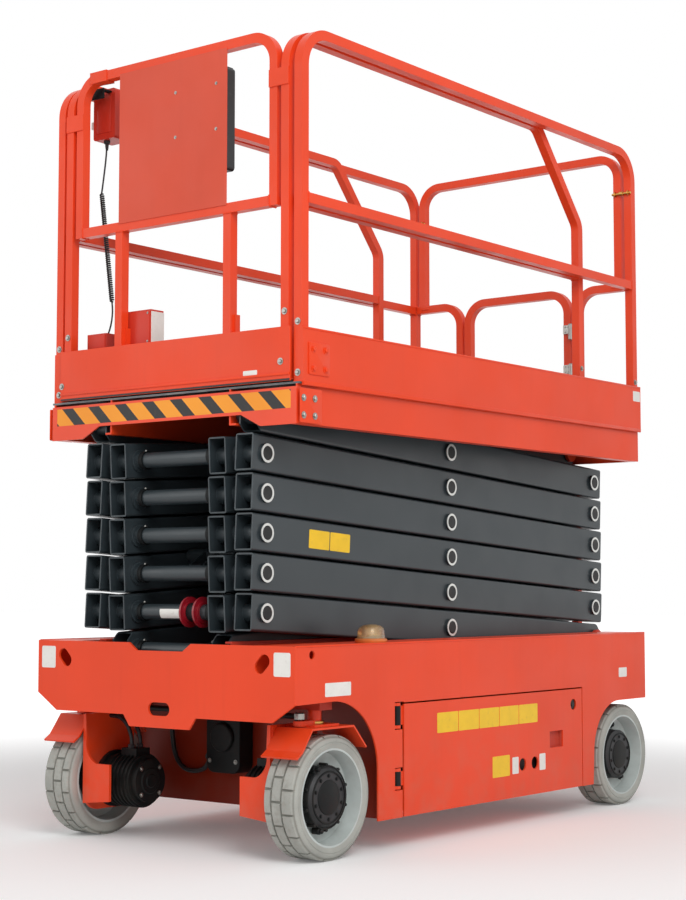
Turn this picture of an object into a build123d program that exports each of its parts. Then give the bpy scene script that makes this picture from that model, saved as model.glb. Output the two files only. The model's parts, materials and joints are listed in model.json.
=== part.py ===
from build123d import *
from math import atan, cos, degrees, hypot, radians, sin, tan
import os

# Self-propelled electric scissor lift with a six-stage stack, stowed.
# Millimetres. +X towards the steered end, +Y to the machine's left, +Z up.
# The origin is on the ground, midway between the two axles.

# ---- chassis ----
skin = 6
chassis_half_width = 560
chassis_front_x = 1100
chassis_rear_x = -1050
chassis_top_z = 655
chassis_front_edge_z = 480   # lower edge ahead of the front arches
chassis_rear_edge_z = 401
chassis_low_z = 100          # underside of the deep middle part
front_plate_thickness = 8
front_plate_edge_z = 425
well_half_width = 384        # the well that the folded stack lies in
well_floor_z = 545
bay_front_x = 640
bay_rear_x = -638
keel_half_width = 206
front_arch = (914, 260, 224)  # centre x, centre z and radius of the round of each arch
rear_arch = (-838, 213, 188)
rear_arch_foot_x = -644
axle_gap = 18                # ends of the rear beam to the tyres' inner faces
axle_half_height = 40
hanger_y = 300
hanger_thickness = 10
beacon_x = 648
beacon_inset = 60
beacon_radius = 50
beacon_height = 57

# ---- ladder ----
ladder_half_width = 190
ladder_tube = 30
ladder_reach = 110           # behind the chassis
ladder_bend = 60
ladder_foot_z = 430
ladder_bracket_z = 515       # of the upper brackets
ladder_step = 240
ladder_steps = 4
ladder_top_gap = 38          # below the platform
side_hole_x = 1021           # round hole through each side plate, near the front
side_hole_z = 628
side_hole_radius = 13

# ---- wheels and axles ----
tyre_radius = 190.5
tyre_width = 127
tyre_bore = 150              # radius where the tyre is bonded to its rim
axle_x = 898                 # each axle line ahead of or behind the origin
tyre_face_y = chassis_half_width - 15        # outer faces of the tyres
hub_radius = 62
hub_cap_radius = 92
spindle_radius = 25
running_gap = 0.05           # radial play of every shaft in its bore
hub_gap = 6                  # hub to the plate that carries the spindle

# ---- side doors and their trays ----
door_front_x = 552
door_rear_x = -562
door_low_z = 101
door_top_z = 458
door_gap = 5
hinge_x = 575
hinge_inset = 12             # hinge line inside the outer face of the skin
hinge_pin_radius = 6
hinge_knuckle_radius = 12
hinge_spans = [(200, 244), (392, 452)]      # low and high ends of each door knuckle
tray_front_x = 480
tray_rear_x = -500
tray_keel_gap = 24           # between each tray and the keel
battery_top_z = 440

# ---- scissor stack ----
stages = 6
stage_rise = 123.6           # height of one stage, folded
front_pin_x = 1013
rear_pin_x = -993
base_pin_z = 628.6
arm_height = 116
arm_width = 72
arm_wall = 5
arm_corner = 8
arm_tip = 60                 # tube beyond its end pins
short_tip = 40               # the same where the end lies inside a frame
short_tip_chamfer = 25
outer_arm_y = 330            # middle of the outer arms
inner_arm_y = 219
pin_radius = 20
bush_radius = 30
bush_side_gap = 0.5
ring_height = 8
cross_tube_radius = 25
roller_radius = 28.5
track_half_height = 29
track_rear_x = 230
track_wall = 6
side_clearance = 5           # moving arms to fixed pieces beside them

# ---- lift cylinders, on the second and third stages ----
cylinder_stage = 2
cylinder_y = 70
barrel_foot = 885            # from the front pin along the arm to the barrel's foot
rod_head = 185               # the same, on the next arm, to the rod's eye
barrel_radius = 45
rod_radius = 25
barrel_length = 560
rod_eye_radius = 30
rod_eye_width = 40
lug_reach = 75               # rod's eye back to the tube that carries its lugs
lug_rise = 45                # and up to it

# ---- platform ----
platform_front_x = 1070
platform_rear_x = -1060
platform_half_width = 550
sheet = 6
beam_inset = 14              # outer faces of the side beams inside those of the toe boards
beam_low_z = 1328
floor_top_z = 1455
floor_thickness = 6
step_z = 1444                # lower edge of the toe boards
toe_top_z = 1622
fascia_top_z = 1440

# ---- guard rails ----
rail = 32                    # square tube
rail_pitch = 48              # from one row of rails to the next one inwards
rail_bend = 110
frame_bend = 85              # of the front, rear and gate frames
rail_top_z = 2572
mid_rail_z = 2028
side_post_front_x = 1036
side_post_rear_x = -1030
rear_toe_top_z = 1600
gate_far_y = -261
gate_near_y = 259
gate_gap = 14                # hinge side
gate_latch_gap = 10
gate_hinges = [1714, 1877]
gate_pin_radius = 5
gate_knuckle_radius = 9

# ---- extension deck ----
deck_low_z = 1460
deck_rear_x = -740
rear_post_x = -697
brace_top_x = -405
front_toe_top_z = 1628
stanchion_inset = 191        # inward of the front frame's legs
socket_height = 60
panel_lap = 6                # panel over the tubes round it
pedal_box_inset = 7          # inward of the front frame's legs
pedal_box = (48, 90, 219)    # depth, width and height
junction_case = (60, 129, 146)
junction_lap = 15            # outward of the middle of the post that it hangs on

# ---- steering ----
kingpin_inset = 52           # kingpin axis outward of the tyre's inner face
kingpin_radius = 20
kingpin_boss_radius = 22
steer_beam_half_length = 30  # along X
steer_beam_overhang = 45     # beyond the kingpin
beam_top_z = 515
beam_bottom_z = 455
knuckle_plate_inset = 22     # plate's inner face inward of the tyre's inner face
knuckle_plate = 12
knuckle_corner = 60
knuckle_front_x = 1035
knuckle_rear_x = 810
knuckle_low_z = 94
knuckle_top_z = 412
guard_thickness = 10
guard_low_z = 118
guard_broad_top_z = 250
guard_reach = 123            # broad part inward of the plate's outer face
fender_z = 400
fender_edge_y = 550
motor_radius = 84
motor_length = 166
lever_reach = 72
lever_thickness = 12
lever_width = 40
ball_radius = 8
tie_rod_z = 438
tie_rod_radius = 9
tie_rod_end_radius = 15

# ---- worked out from the above ----
wheel_y = tyre_face_y - tyre_width / 2
tyre_inner_y = tyre_face_y - tyre_width
kingpin_y = tyre_inner_y + kingpin_inset
knuckle_plate_y = tyre_inner_y - knuckle_plate_inset
motor_inner_y = knuckle_plate_y - motor_length
span_x = front_pin_x - rear_pin_x
folded_angle = atan(stage_rise / span_x)
arm_length = hypot(span_x, stage_rise)
folded_degrees = degrees(folded_angle)
outer_in, outer_out = outer_arm_y - arm_width / 2, outer_arm_y + arm_width / 2
inner_in, inner_out = inner_arm_y - arm_width / 2, inner_arm_y + arm_width / 2
top_pin_z = base_pin_z + stages * stage_rise
beam_half_width = platform_half_width - beam_inset
side_rail_y = platform_half_width - sheet - rail / 2
extension_rail_y = side_rail_y - rail_pitch
front_leg_y = extension_rail_y - rail_pitch
stanchion_y = front_leg_y - stanchion_inset
lever_x = axle_x + lever_reach

os.makedirs("parts", exist_ok=True)


def save(node, *solids):
    # one file for each node; pieces that don't touch stay separate solids in it
    shape = solids[0] if len(solids) == 1 else Compound(children=list(solids))
    export_step(shape, f"parts/{node}.step")


def block(xs, ys, zs):
    # box between low and high x, y and z; y limits may come in either order
    size = [abs(b - a) for a, b in (xs, ys, zs)]
    middle = [(a + b) / 2 for a, b in (xs, ys, zs)]
    return Pos(*middle) * Box(*size)


def shaft(x, z, y_from, y_to, radius):
    # cylinder along Y
    low, high = min(y_from, y_to), max(y_from, y_to)
    return extrude(Plane((x, low, z), x_dir=(1, 0, 0), z_dir=(0, 1, 0)) * Circle(radius), high - low)


def upright(x, y, z_from, z_to, radius):
    # cylinder along Z
    return extrude(Plane((x, y, z_from)) * Circle(radius), z_to - z_from)


def plate_xz(outline, y_from, y_to):
    # plate of an (x, z) outline, thick along Y
    low, high = min(y_from, y_to), max(y_from, y_to)
    edge = Polyline(*[(x, low, z) for x, z in outline], close=True)
    return extrude(make_face(edge), high - low, dir=(0, 1, 0))


def plate_yz(outline, x_from, x_to):
    # plate of a (y, z) outline, thick along X
    edge = Polyline(*[(x_from, y, z) for y, z in outline], close=True)
    return extrude(make_face(edge), x_to - x_from, dir=(1, 0, 0))


def square_tube(points, size, bend, across):
    # bent square rail through the points; across is the normal of its plane
    path = FilletPolyline(*points, radius=bend) if len(points) > 2 else Polyline(*points)
    start = Plane(path @ 0, x_dir=across, z_dir=path % 0)
    return sweep(start * Rectangle(size, size), path=path)


def level(k):
    return base_pin_z + k * stage_rise


# ---- arms ----
def arm_tube(y, rear_tip, front_tip):
    # hollow tube along local X from its rear pin at 0 to its front pin at arm_length
    start = Plane((-rear_tip, y, 0), x_dir=(0, 1, 0), z_dir=(1, 0, 0))
    length = arm_length + rear_tip + front_tip
    outside = extrude(start * RectangleRounded(arm_width, arm_height, arm_corner), length)
    inside = extrude(start * Rectangle(arm_width - 2 * arm_wall, arm_height - 2 * arm_wall), length)
    tube = outside - inside
    for tip, end, way in ((rear_tip, -rear_tip, 1), (front_tip, arm_length + front_tip, -1)):
        if tip == short_tip:
            for up in (1, -1):
                corner = [(end, up * arm_height / 2), (end + way * short_tip_chamfer, up * arm_height / 2),
                          (end, up * (arm_height / 2 - short_tip_chamfer))]
                tube -= plate_xz(corner, y - arm_width, y + arm_width)
    return tube


def outer_arm_pair(k):
    # two outer arms with the pins that they carry; the rear end is the low one
    pair = []
    for side in (1, -1):
        rear_tip, front_tip = short_tip if k == 1 else arm_tip, short_tip if k == stages else arm_tip
        tube = arm_tube(side * outer_arm_y, rear_tip, front_tip)
        for u in (0, arm_length / 2, arm_length):
            inner_end = inner_in + 4
            outer_end = outer_out + ring_height
            if k == 1 and u == 0:
                inner_end = outer_in - 18
                outer_end = well_half_width
            if k == stages and u == arm_length:
                inner_end = inner_out + 32
            tube += shaft(u, 0, side * inner_end, side * outer_end, pin_radius)
            if not (k == 1 and u == 0):
                tube += shaft(u, 0, side * outer_in, side * (outer_out + ring_height), bush_radius)
            if k == stages and u == arm_length:
                tube += shaft(u, 0, side * (inner_out + 14), side * (inner_out + 32), roller_radius)
        pair.append(Pos(rear_pin_x, 0, level(k - 1)) * Rot(0, -folded_degrees, 0) * tube)
    return pair


def inner_arm_frame(k):
    # two inner arms, their bushes and the tubes across; the front end is the low one
    frame = None
    for side in (1, -1):
        rear_tip, front_tip = short_tip if k == stages else arm_tip, short_tip if k == 1 else arm_tip
        tube = arm_tube(side * inner_arm_y, rear_tip, front_tip)
        for u in (0, arm_length / 2, arm_length):
            if k == 1 and u == arm_length:
                tube += shaft(u, 0, side * inner_in, side * (inner_out + 25), pin_radius)
                tube += shaft(u, 0, side * (inner_out + 7), side * (inner_out + 25), roller_radius)
                continue
            last = k == stages and u == 0
            bush_end = inner_out if last else outer_in - bush_side_gap
            tube += shaft(u, 0, side * inner_in, side * bush_end, bush_radius)
            bore_start = inner_in - 1 if last else inner_in + 3
            tube -= shaft(u, 0, side * bore_start, side * (outer_in + 1), pin_radius + running_gap)
        frame = tube if frame is None else frame + tube
    for u in cross_tube_places(k):
        frame += shaft(u, 0, -inner_in, inner_in, cross_tube_radius)
    if k == cylinder_stage:
        foot = arm_length - barrel_foot
        frame += shaft(foot, 0, -inner_in, inner_in, cross_tube_radius)
    if k == cylinder_stage + 1:
        eye = arm_length - rod_head
        frame += shaft(eye - lug_reach, lug_rise, -inner_in, inner_in, cross_tube_radius)
        ear = [(eye - lug_reach - 12, lug_rise - 20), (eye - lug_reach + 12, lug_rise + 20),
               (eye + 18, rod_eye_radius - 6), (eye - 18, 6 - rod_eye_radius)]
        for y in (-cylinder_y, cylinder_y):
            for way in (1, -1):
                near = y + way * (rod_eye_width / 2 + side_clearance)
                frame += plate_xz(ear, near, near + way * 10)
                frame += shaft(eye, 0, near, near + way * 10, rod_eye_radius)
    return Pos(rear_pin_x, 0, level(k)) * Rot(0, folded_degrees, 0) * frame


def cross_tube_places(k):
    # distances along the arm from its rear pin
    places = [0, arm_length / 2, arm_length]
    if k == stages:
        places[0] = 130      # clear of the platform's pin lugs
    return places


def along_inner(k, from_front):
    # point on the axis of inner arm k, measured from its front pin
    return (front_pin_x - from_front * cos(folded_angle), level(k - 1) + from_front * sin(folded_angle))


def build_cylinders():
    foot = along_inner(cylinder_stage, barrel_foot)
    head = along_inner(cylinder_stage + 1, rod_head)
    reach = hypot(head[0] - foot[0], head[1] - foot[1])
    tilt = degrees(atan((head[1] - foot[1]) / (head[0] - foot[0])))
    place = Pos(foot[0], 0, foot[1]) * Rot(0, -tilt, 0)
    barrels, rods = [], []
    along = Plane.YZ
    for y in (-cylinder_y, cylinder_y):
        foot_eye = shaft(0, 0, y - barrel_radius, y + barrel_radius, barrel_radius)
        body = extrude(along.offset(0) * Pos(y, 0) * Circle(barrel_radius), barrel_length)
        gland = extrude(along.offset(barrel_length - 40) * Pos(y, 0) * Circle(barrel_radius + 5), 40)
        bore = extrude(along.offset(110) * Pos(y, 0) * Circle(rod_radius + running_gap), barrel_length)
        pivot = shaft(0, 0, y - 2 * barrel_radius, y + 2 * barrel_radius, cross_tube_radius + running_gap)
        barrels.append(place * (foot_eye + body + gland - bore - pivot))
        rod_body = extrude(along.offset(120) * Pos(y, 0) * Circle(rod_radius), reach - 120)
        eye = shaft(reach, 0, y - rod_eye_width / 2, y + rod_eye_width / 2, rod_eye_radius)
        rods.append(place * (rod_body + eye))
    save("lift_barrels", *barrels)
    save("lift_rods", *rods)


def build_stack():
    for k in range(1, stages + 1):
        save(f"outer_arms_{k}", *outer_arm_pair(k))
        save(f"inner_arms_{k}", inner_arm_frame(k))
    build_cylinders()


# ---- chassis ----
def build_chassis_frame():
    front_inside = chassis_front_x - front_plate_thickness
    rear_inside = chassis_rear_x + skin
    low_floor = well_floor_z - skin
    frame = block((rear_inside, front_inside), (-well_half_width - skin, well_half_width + skin),
                  (low_floor, well_floor_z))
    side_in = chassis_half_width - skin
    for side in (1, -1):
        wall = (side * well_half_width, side * (well_half_width + skin))
        frame += block((rear_inside, front_inside), wall, (low_floor, chassis_top_z))
        deck = (side * well_half_width, side * side_in)
        frame += block((rear_inside, front_inside), deck, (chassis_top_z - skin, chassis_top_z))
        keel = (side * (keel_half_width - skin), side * keel_half_width)
        frame += block((bay_rear_x, bay_front_x), keel, (chassis_low_z, low_floor))
        web = (side * (well_half_width - 10), side * well_half_width)
        frame += block((bay_front_x, front_inside), web, (beam_top_z, low_floor))
        hanger = (side * hanger_y, side * (hanger_y + hanger_thickness))
        frame += block((-axle_x - 60, -axle_x + 60), hanger, (tyre_radius + axle_half_height, low_floor))
    frame += block((bay_rear_x, bay_front_x), (-keel_half_width, keel_half_width),
                   (chassis_low_z, chassis_low_z + skin))
    for x in (bay_rear_x - skin, bay_front_x - skin):
        frame += block((x, x + skin), (-side_in, side_in), (chassis_low_z, low_floor))
        for side in (1, -1):
            frame += block((x, x + skin), (side * (well_half_width + skin), side * side_in),
                           (low_floor, chassis_top_z - skin))
    rear = block((chassis_rear_x, rear_inside), (-side_in, side_in), (chassis_rear_edge_z, chassis_top_z))
    frame += rear - block((chassis_rear_x - 1, rear_inside + 1), (-well_half_width, well_half_width),
                          (well_floor_z, chassis_top_z + 1))
    save("chassis_frame", frame)


def arch_round(arch, toward, y):
    # quarter circle from the side of an arch that faces the doors to its crown
    x, z, radius = arch
    slant = radius * cos(radians(45))
    return ThreePointArc((x + toward * radius, y, z), (x + toward * slant, y, z + slant), (x, y, z + radius))


def side_outline(y):
    front, top = chassis_front_x - front_plate_thickness, chassis_top_z
    front_round, rear_round = arch_round(front_arch, -1, y), arch_round(rear_arch, 1, y)
    foot_x = front_arch[0] - front_arch[2]
    low = Polyline(rear_round @ 0, (rear_arch_foot_x, y, chassis_low_z), (foot_x, y, chassis_low_z),
                   front_round @ 0)
    high = Polyline(front_round @ 1, (front, y, chassis_front_edge_z), (front, y, top),
                    (chassis_rear_x, y, top), (chassis_rear_x, y, chassis_rear_edge_z), rear_round @ 1)
    return low + front_round + high + rear_round


def build_side_plates():
    plates = []
    for side in (1, -1):
        out, inside = side * chassis_half_width, side * (chassis_half_width - skin)
        plate = extrude(make_face(side_outline(min(out, inside))), skin, dir=(0, 1, 0))
        past = (inside - side, out + side)
        plate -= block((door_rear_x - door_gap, door_front_x + 9), past,
                       (chassis_low_z - 1, door_top_z + door_gap))
        for low, high in hinge_spans:
            plate -= block((door_front_x, hinge_x + 27), past, (low - 14, high + 14))
        plate -= shaft(side_hole_x, side_hole_z, past[0], past[1], side_hole_radius)
        hinge_y = out - side * hinge_inset
        for low, high in hinge_spans:
            for ear_low, ear_high in ((low - 11, low - 1), (high + 1, high + 11)):
                ear = upright(hinge_x, hinge_y, ear_low, ear_high, hinge_knuckle_radius)
                arm = block((hinge_x, bay_front_x - skin), (inside - side * 16, inside), (ear_low, ear_high))
                plate += ear + arm
            plate += upright(hinge_x, hinge_y, low - 11, high + 11, hinge_pin_radius)
        plates.append(plate)
    save("side_plates", *plates)


def build_front_plate():
    top, low_edge, wide = chassis_top_z, front_plate_edge_z, chassis_half_width
    half = [(135, top), (wide, top), (wide, chassis_front_edge_z + 2), (wide - 91, low_edge), (157, low_edge),
            (130, low_edge - 37)]
    outline = [(100, top - 25)] + half + [(-y, z) for y, z in reversed(half)] + [(-100, top - 25)]
    back = chassis_front_x - front_plate_thickness
    plate = plate_yz(outline, back, chassis_front_x)
    face = Plane((back - 1, 0, 0), x_dir=(0, 1, 0), z_dir=(1, 0, 0))
    for side in (1, -1):
        slot = Pos(side * (wide - 130), top - 55) * Rot(0, 0, side * 45) * SlotOverall(66, 42)
        plate -= extrude(face * slot, front_plate_thickness + 2)
    plate -= extrude(face * Pos(0, low_edge + 22) * SlotOverall(93, 42), front_plate_thickness + 2)
    save("front_plate", plate)


def build_stack_mounts():
    # tracks for the lowest rollers and lugs for the lowest pins, on the floor of the well
    pieces = []
    for side in (1, -1):
        web_out = side * (outer_in - side_clearance)
        web_in = web_out - side * track_wall
        flange_in = side * (inner_out + side_clearance + 1)
        track_x = (track_rear_x, front_pin_x + 65)
        top = base_pin_z + track_half_height
        low = base_pin_z - track_half_height
        track = block(track_x, (web_in, web_out), (well_floor_z, top + track_wall))
        track += block(track_x, (flange_in, web_out), (top, top + track_wall))
        track += block(track_x, (flange_in, web_out), (low - track_wall, low))
        pieces.append(track)
        for y_from, y_to in ((outer_in - 18, outer_in - 6), (outer_out + 6, well_half_width)):
            lug_x = (rear_pin_x - 35, rear_pin_x + 35)
            lug = block(lug_x, (side * y_from, side * y_to), (well_floor_z, base_pin_z))
            lug += shaft(rear_pin_x, base_pin_z, side * y_from, side * y_to, 35)
            past = (side * (y_from - 1), side * (y_to + 1))
            lug -= shaft(rear_pin_x, base_pin_z, *past, pin_radius + running_gap)
            pieces.append(lug)
    save("stack_mounts", *pieces)


def build_rear_axle():
    half, end = axle_half_height, tyre_inner_y - axle_gap
    beam = block((-axle_x - half, -axle_x + half), (-end, end), (tyre_radius - half, tyre_radius + half))
    for side in (1, -1):
        flange = tyre_inner_y - 4 - hub_gap
        beam += shaft(-axle_x, tyre_radius, side * (end - 1), side * flange, hub_radius)
        beam += shaft(-axle_x, tyre_radius, side * (end - 1), side * (wheel_y - 4), spindle_radius)
    save("rear_axle", beam)


def build_steer_beam():
    end, half = kingpin_y + steer_beam_overhang, steer_beam_half_length
    beam = block((axle_x - half, axle_x + half), (-end, end), (beam_bottom_z, beam_top_z))
    for side in (1, -1):
        bore = kingpin_radius + running_gap
        beam -= upright(axle_x, side * kingpin_y, beam_bottom_z - 1, beam_top_z + 1, bore)
    save("steer_beam", beam)


def knuckle_guard(side):
    # plate that faces forward, tall beside the wheel and broad ahead of the motor
    near = knuckle_plate_y + knuckle_plate
    broad_top, inside = guard_broad_top_z, near - guard_reach
    x = knuckle_front_x - guard_thickness
    corners = [(near - 63, broad_top), (inside, broad_top), (inside, guard_low_z + 12), (near, guard_low_z),
               (near, knuckle_top_z), (knuckle_plate_y, knuckle_top_z), (near - 16, broad_top + 80)]
    places = [(x, side * y, z) for y, z in corners]
    curve = ThreePointArc(places[-1], (x, side * (near - 29), broad_top + 21), places[0])
    return extrude(make_face(Polyline(*places) + curve), guard_thickness, dir=(1, 0, 0))


def build_knuckles():
    flat, low = fender_z, fender_z - 64
    fender = [(740, low - 4), (803, flat), (1003, flat), (1050, low), (1077, low - 18), (1080, low - 13),
              (1054, low + 4), (1005, flat + 6), (801, flat + 6), (736, low)]
    for name, side in (("left", 1), ("right", -1)):
        inner = side * knuckle_plate_y
        outer = side * (knuckle_plate_y + knuckle_plate)
        piece = block((knuckle_rear_x, knuckle_front_x), (inner, outer), (knuckle_low_z, knuckle_top_z))
        piece = fillet(piece.edges().filter_by(Axis.Y).group_by(Axis.Z)[0], knuckle_corner)
        piece += knuckle_guard(side)
        piece -= shaft(axle_x, tyre_radius, inner - side, outer + side, spindle_radius + 10)
        top_plate = (inner, side * (kingpin_y + 50))
        piece += block((axle_x - 60, axle_x + 60), top_plate, (fender_z - 4, knuckle_top_z))
        piece += plate_xz(fender, outer, side * fender_edge_y)
        lever_top = knuckle_top_z + lever_thickness
        lever_z = (knuckle_top_z - 4, lever_top)
        half = lever_width / 2
        lever = block((axle_x, lever_x), (side * kingpin_y - half, side * kingpin_y + half), lever_z)
        lever += upright(lever_x, side * kingpin_y, *lever_z, half)
        piece += lever
        piece += upright(axle_x, side * kingpin_y, knuckle_top_z, beam_top_z + 5, kingpin_radius)
        piece += upright(axle_x, side * kingpin_y, knuckle_top_z, beam_bottom_z - 0.5, kingpin_boss_radius)
        piece += upright(lever_x, side * kingpin_y, lever_top, tie_rod_z + 11, ball_radius)
        save(f"knuckle_{name}", piece)
        bell_end = side * (motor_inner_y + 20)
        motor = shaft(axle_x, tyre_radius, bell_end, inner, motor_radius)
        motor += shaft(axle_x, tyre_radius, side * motor_inner_y, bell_end, motor_radius - 14)
        motor += shaft(axle_x, tyre_radius, side * (knuckle_plate_y - 14), inner, motor_radius + 10)
        motor += shaft(axle_x, tyre_radius, inner, side * (wheel_y - 4), spindle_radius)
        terminal_y = (side * (motor_inner_y + 35), side * (motor_inner_y + 105))
        motor += block((axle_x - 32, axle_x + 32), terminal_y, (tyre_radius, tyre_radius + motor_radius + 22))
        save(f"drive_motor_{name}", motor)


def build_tie_rod():
    x = lever_x
    rod = shaft(x, tie_rod_z, -kingpin_y, kingpin_y, tie_rod_radius)
    for side in (1, -1):
        rod += upright(x, side * kingpin_y, tie_rod_z - 11, tie_rod_z + 11, tie_rod_end_radius)
        rod -= upright(x, side * kingpin_y, tie_rod_z - 12, tie_rod_z + 12, ball_radius + running_gap)
    save("tie_rod", rod)


def build_wheels():
    for name, x, side in (("front_left", axle_x, 1), ("front_right", axle_x, -1),
                          ("rear_left", -axle_x, 1), ("rear_right", -axle_x, -1)):
        # half section as (radius, distance in from the tyre's outer face)
        tyre_section = [(tyre_bore, 4), (tyre_radius - 14, 0), (tyre_radius, 12),
                        (tyre_radius, tyre_width - 12), (tyre_radius - 14, tyre_width),
                        (tyre_bore, tyre_width - 4)]
        hub_start = tyre_width + 4
        bore, bore_end = spindle_radius + running_gap, tyre_width / 2 - 2
        rim_section = [(tyre_bore, 4), (tyre_bore - 6, 4), (tyre_bore - 14, 56), (hub_cap_radius + 2, 60),
                       (hub_cap_radius, 56), (hub_cap_radius, 26), (hub_cap_radius - 10, 18), (0, 18),
                       (0, bore_end), (bore, bore_end), (bore, hub_start), (hub_radius, hub_start),
                       (hub_radius, 84), (hub_radius + 26, 74), (tyre_bore - 14, 66),
                       (tyre_bore - 8, tyre_width - 4), (tyre_bore, tyre_width - 4)]
        for node, section in (("tyre", tyre_section), ("rim", rim_section)):
            edge = Polyline(*[(r, side * (tyre_face_y - d), 0) for r, d in section], close=True)
            wheel = revolve(make_face(edge), Axis.Y)
            save(f"{node}_{name}", Pos(x, 0, tyre_radius) * wheel)


def build_doors():
    for name, side in (("left", 1), ("right", -1)):
        out, inside = side * chassis_half_width, side * (chassis_half_width - skin)
        past = (inside - side, out + side)
        door = block((door_rear_x, door_front_x), (inside, out), (door_low_z, door_top_z))
        for x, z, radius in ((-502, 402, 20), (-154, 211, 22), (-234, 211, 22)):
            door -= shaft(x, z, past[0], past[1], radius)
        door -= block((-426, -335), past, (255, 314))
        tray_in = side * (keel_half_width + tray_keel_gap)
        tray_z = (door_low_z + 7, door_low_z + 7 + skin)
        door += block((tray_rear_x, tray_front_x), (tray_in, inside), tray_z)
        for x in (tray_rear_x, tray_front_x - skin):
            door += block((x, x + skin), (tray_in, inside), (tray_z[0], 200))
        hinge_y = out - side * hinge_inset
        for low, high in hinge_spans:
            knuckle = upright(hinge_x, hinge_y, low, high, hinge_knuckle_radius)
            knuckle += block((hinge_x - 45, hinge_x), (inside - side * 12, inside), (low, high))
            knuckle -= upright(hinge_x, hinge_y, low - 1, high + 1, hinge_pin_radius + running_gap)
            door += knuckle
        save(f"side_door_{name}", door)
        battery = block((tray_rear_x + skin + 10, tray_front_x - skin - 10),
                        (tray_in + side * 10, inside - side * 14), (tray_z[1], battery_top_z))
        save(f"battery_block_{name}", battery)


def build_beacon():
    # half section as (radius, height above the deck)
    wide, top = beacon_radius, beacon_height
    section = [(0, 0), (wide, 0), (wide, 12), (wide - 6, 14), (wide - 7, top - 19), (wide - 13, top - 7),
               (wide - 26, top), (0, top)]
    edge = Polyline(*[(r, 0, h) for r, h in section], close=True)
    place = Pos(beacon_x, chassis_half_width - beacon_inset, chassis_top_z)
    save("beacon", place * revolve(make_face(edge), Axis.Z))


def build_ladder():
    wide, half = ladder_half_width, ladder_tube / 2
    x, foot, bracket = chassis_rear_x - ladder_reach, ladder_foot_z, ladder_bracket_z
    pieces = None
    for y in (-wide, wide):
        route = [(chassis_rear_x, y, foot), (x, y, foot), (x, y, beam_low_z - ladder_top_gap)]
        rail_piece = square_tube(route, ladder_tube, ladder_bend, (0, 1, 0))
        rail_piece += block((x, chassis_rear_x), (y - half, y + half), (bracket - half, bracket + half))
        pieces = rail_piece if pieces is None else pieces + rail_piece
    for step in range(ladder_steps):
        z = bracket + 5 + ladder_step * step
        pieces += block((x - half, x + half), (-wide, wide), (z - half, z + half))
    save("ladder", pieces)


# ---- platform ----
def build_platform_frame():
    floor_low = floor_top_z - floor_thickness
    frame = None
    for side in (1, -1):
        out = side * beam_half_width
        inside = out - side * sheet
        beam_x = (platform_rear_x + sheet, platform_front_x - sheet)
        web = block(beam_x, (inside, out), (beam_low_z, floor_low))
        web += block(beam_x, (inside - side * 34, inside), (beam_low_z, beam_low_z + sheet))
        frame = web if frame is None else frame + web
    frame += block((platform_rear_x, platform_rear_x + sheet), (-beam_half_width, beam_half_width),
                   (beam_low_z, floor_low))
    save("platform_frame", frame)


def build_platform_mounts():
    # tracks for the top rollers and lugs for the top pins, under the floor
    floor_low = floor_top_z - floor_thickness
    pieces = []
    for side in (1, -1):
        web_in = side * (inner_out + side_clearance)
        web_out = web_in + side * track_wall
        flange_out = side * (outer_in - side_clearance - 1)
        track_x = (track_rear_x, platform_front_x - sheet)
        top = top_pin_z + track_half_height
        low = top_pin_z - track_half_height
        track = block(track_x, (web_in, web_out), (low - track_wall, floor_low))
        track += block(track_x, (web_in, flange_out), (top, top + track_wall))
        track += block(track_x, (web_in, flange_out), (low - track_wall, low))
        pieces.append(track)
        for y_from, y_to in ((inner_in - 17, inner_in - 5), (inner_out + 5, inner_out + 17)):
            lug_x = (rear_pin_x - 35, rear_pin_x + 35)
            lug = block(lug_x, (side * y_from, side * y_to), (top_pin_z, floor_low))
            lug += shaft(rear_pin_x, top_pin_z, side * y_from, side * y_to, 35)
            pieces.append(lug)
        pin = shaft(rear_pin_x, top_pin_z, side * (inner_in - 17), side * (inner_out + 17), pin_radius)
        pieces[-1] = pieces[-1] + pieces[-2] + pin
        pieces.pop(-2)
    save("platform_mounts", *pieces)


def build_platform_skin():
    floor_low = floor_top_z - floor_thickness
    wide = platform_half_width - sheet
    floor = block((platform_rear_x, platform_front_x - sheet), (-wide, wide), (floor_low, floor_top_z))
    for side in (1, -1):
        # runner that the extension deck slides on
        runner_y = (side * (extension_rail_y - 34), side * extension_rail_y)
        floor += block((side_post_rear_x + 60, side_post_front_x), runner_y, (floor_top_z, deck_low_z - 0.3))
    save("platform_floor", floor)
    wide, low = beam_half_width + 2, beam_low_z - 2
    half = [(wide, fascia_top_z), (wide, low), (wide - 146, low), (wide - 225, low + 39)]
    outline = half + [(-y, z) for y, z in reversed(half)]
    save("striped_fascia", plate_yz(outline, platform_front_x - sheet, platform_front_x))
    boards = []
    for side in (1, -1):
        faces = (side * (platform_half_width - sheet), side * platform_half_width)
        boards.append(block((platform_rear_x, side_post_front_x + rail / 2), faces, (step_z, toe_top_z)))
    save("toe_boards", *boards)


def build_side_rails():
    rails = []
    top = rail_top_z - rail / 2
    front, rear, foot = side_post_front_x, side_post_rear_x, floor_top_z
    half = rail / 2
    for side in (1, -1):
        y = side * side_rail_y
        hoop = square_tube([(front, y, foot), (front, y, top), (rear, y, top), (rear, y, foot)],
                           rail, rail_bend, (0, 1, 0))
        hoop += block((rear, front), (y - half, y + half), (mid_rail_z - half, mid_rail_z + half))
        rails.append(hoop)
    save("main_side_rails", *rails)


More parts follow.
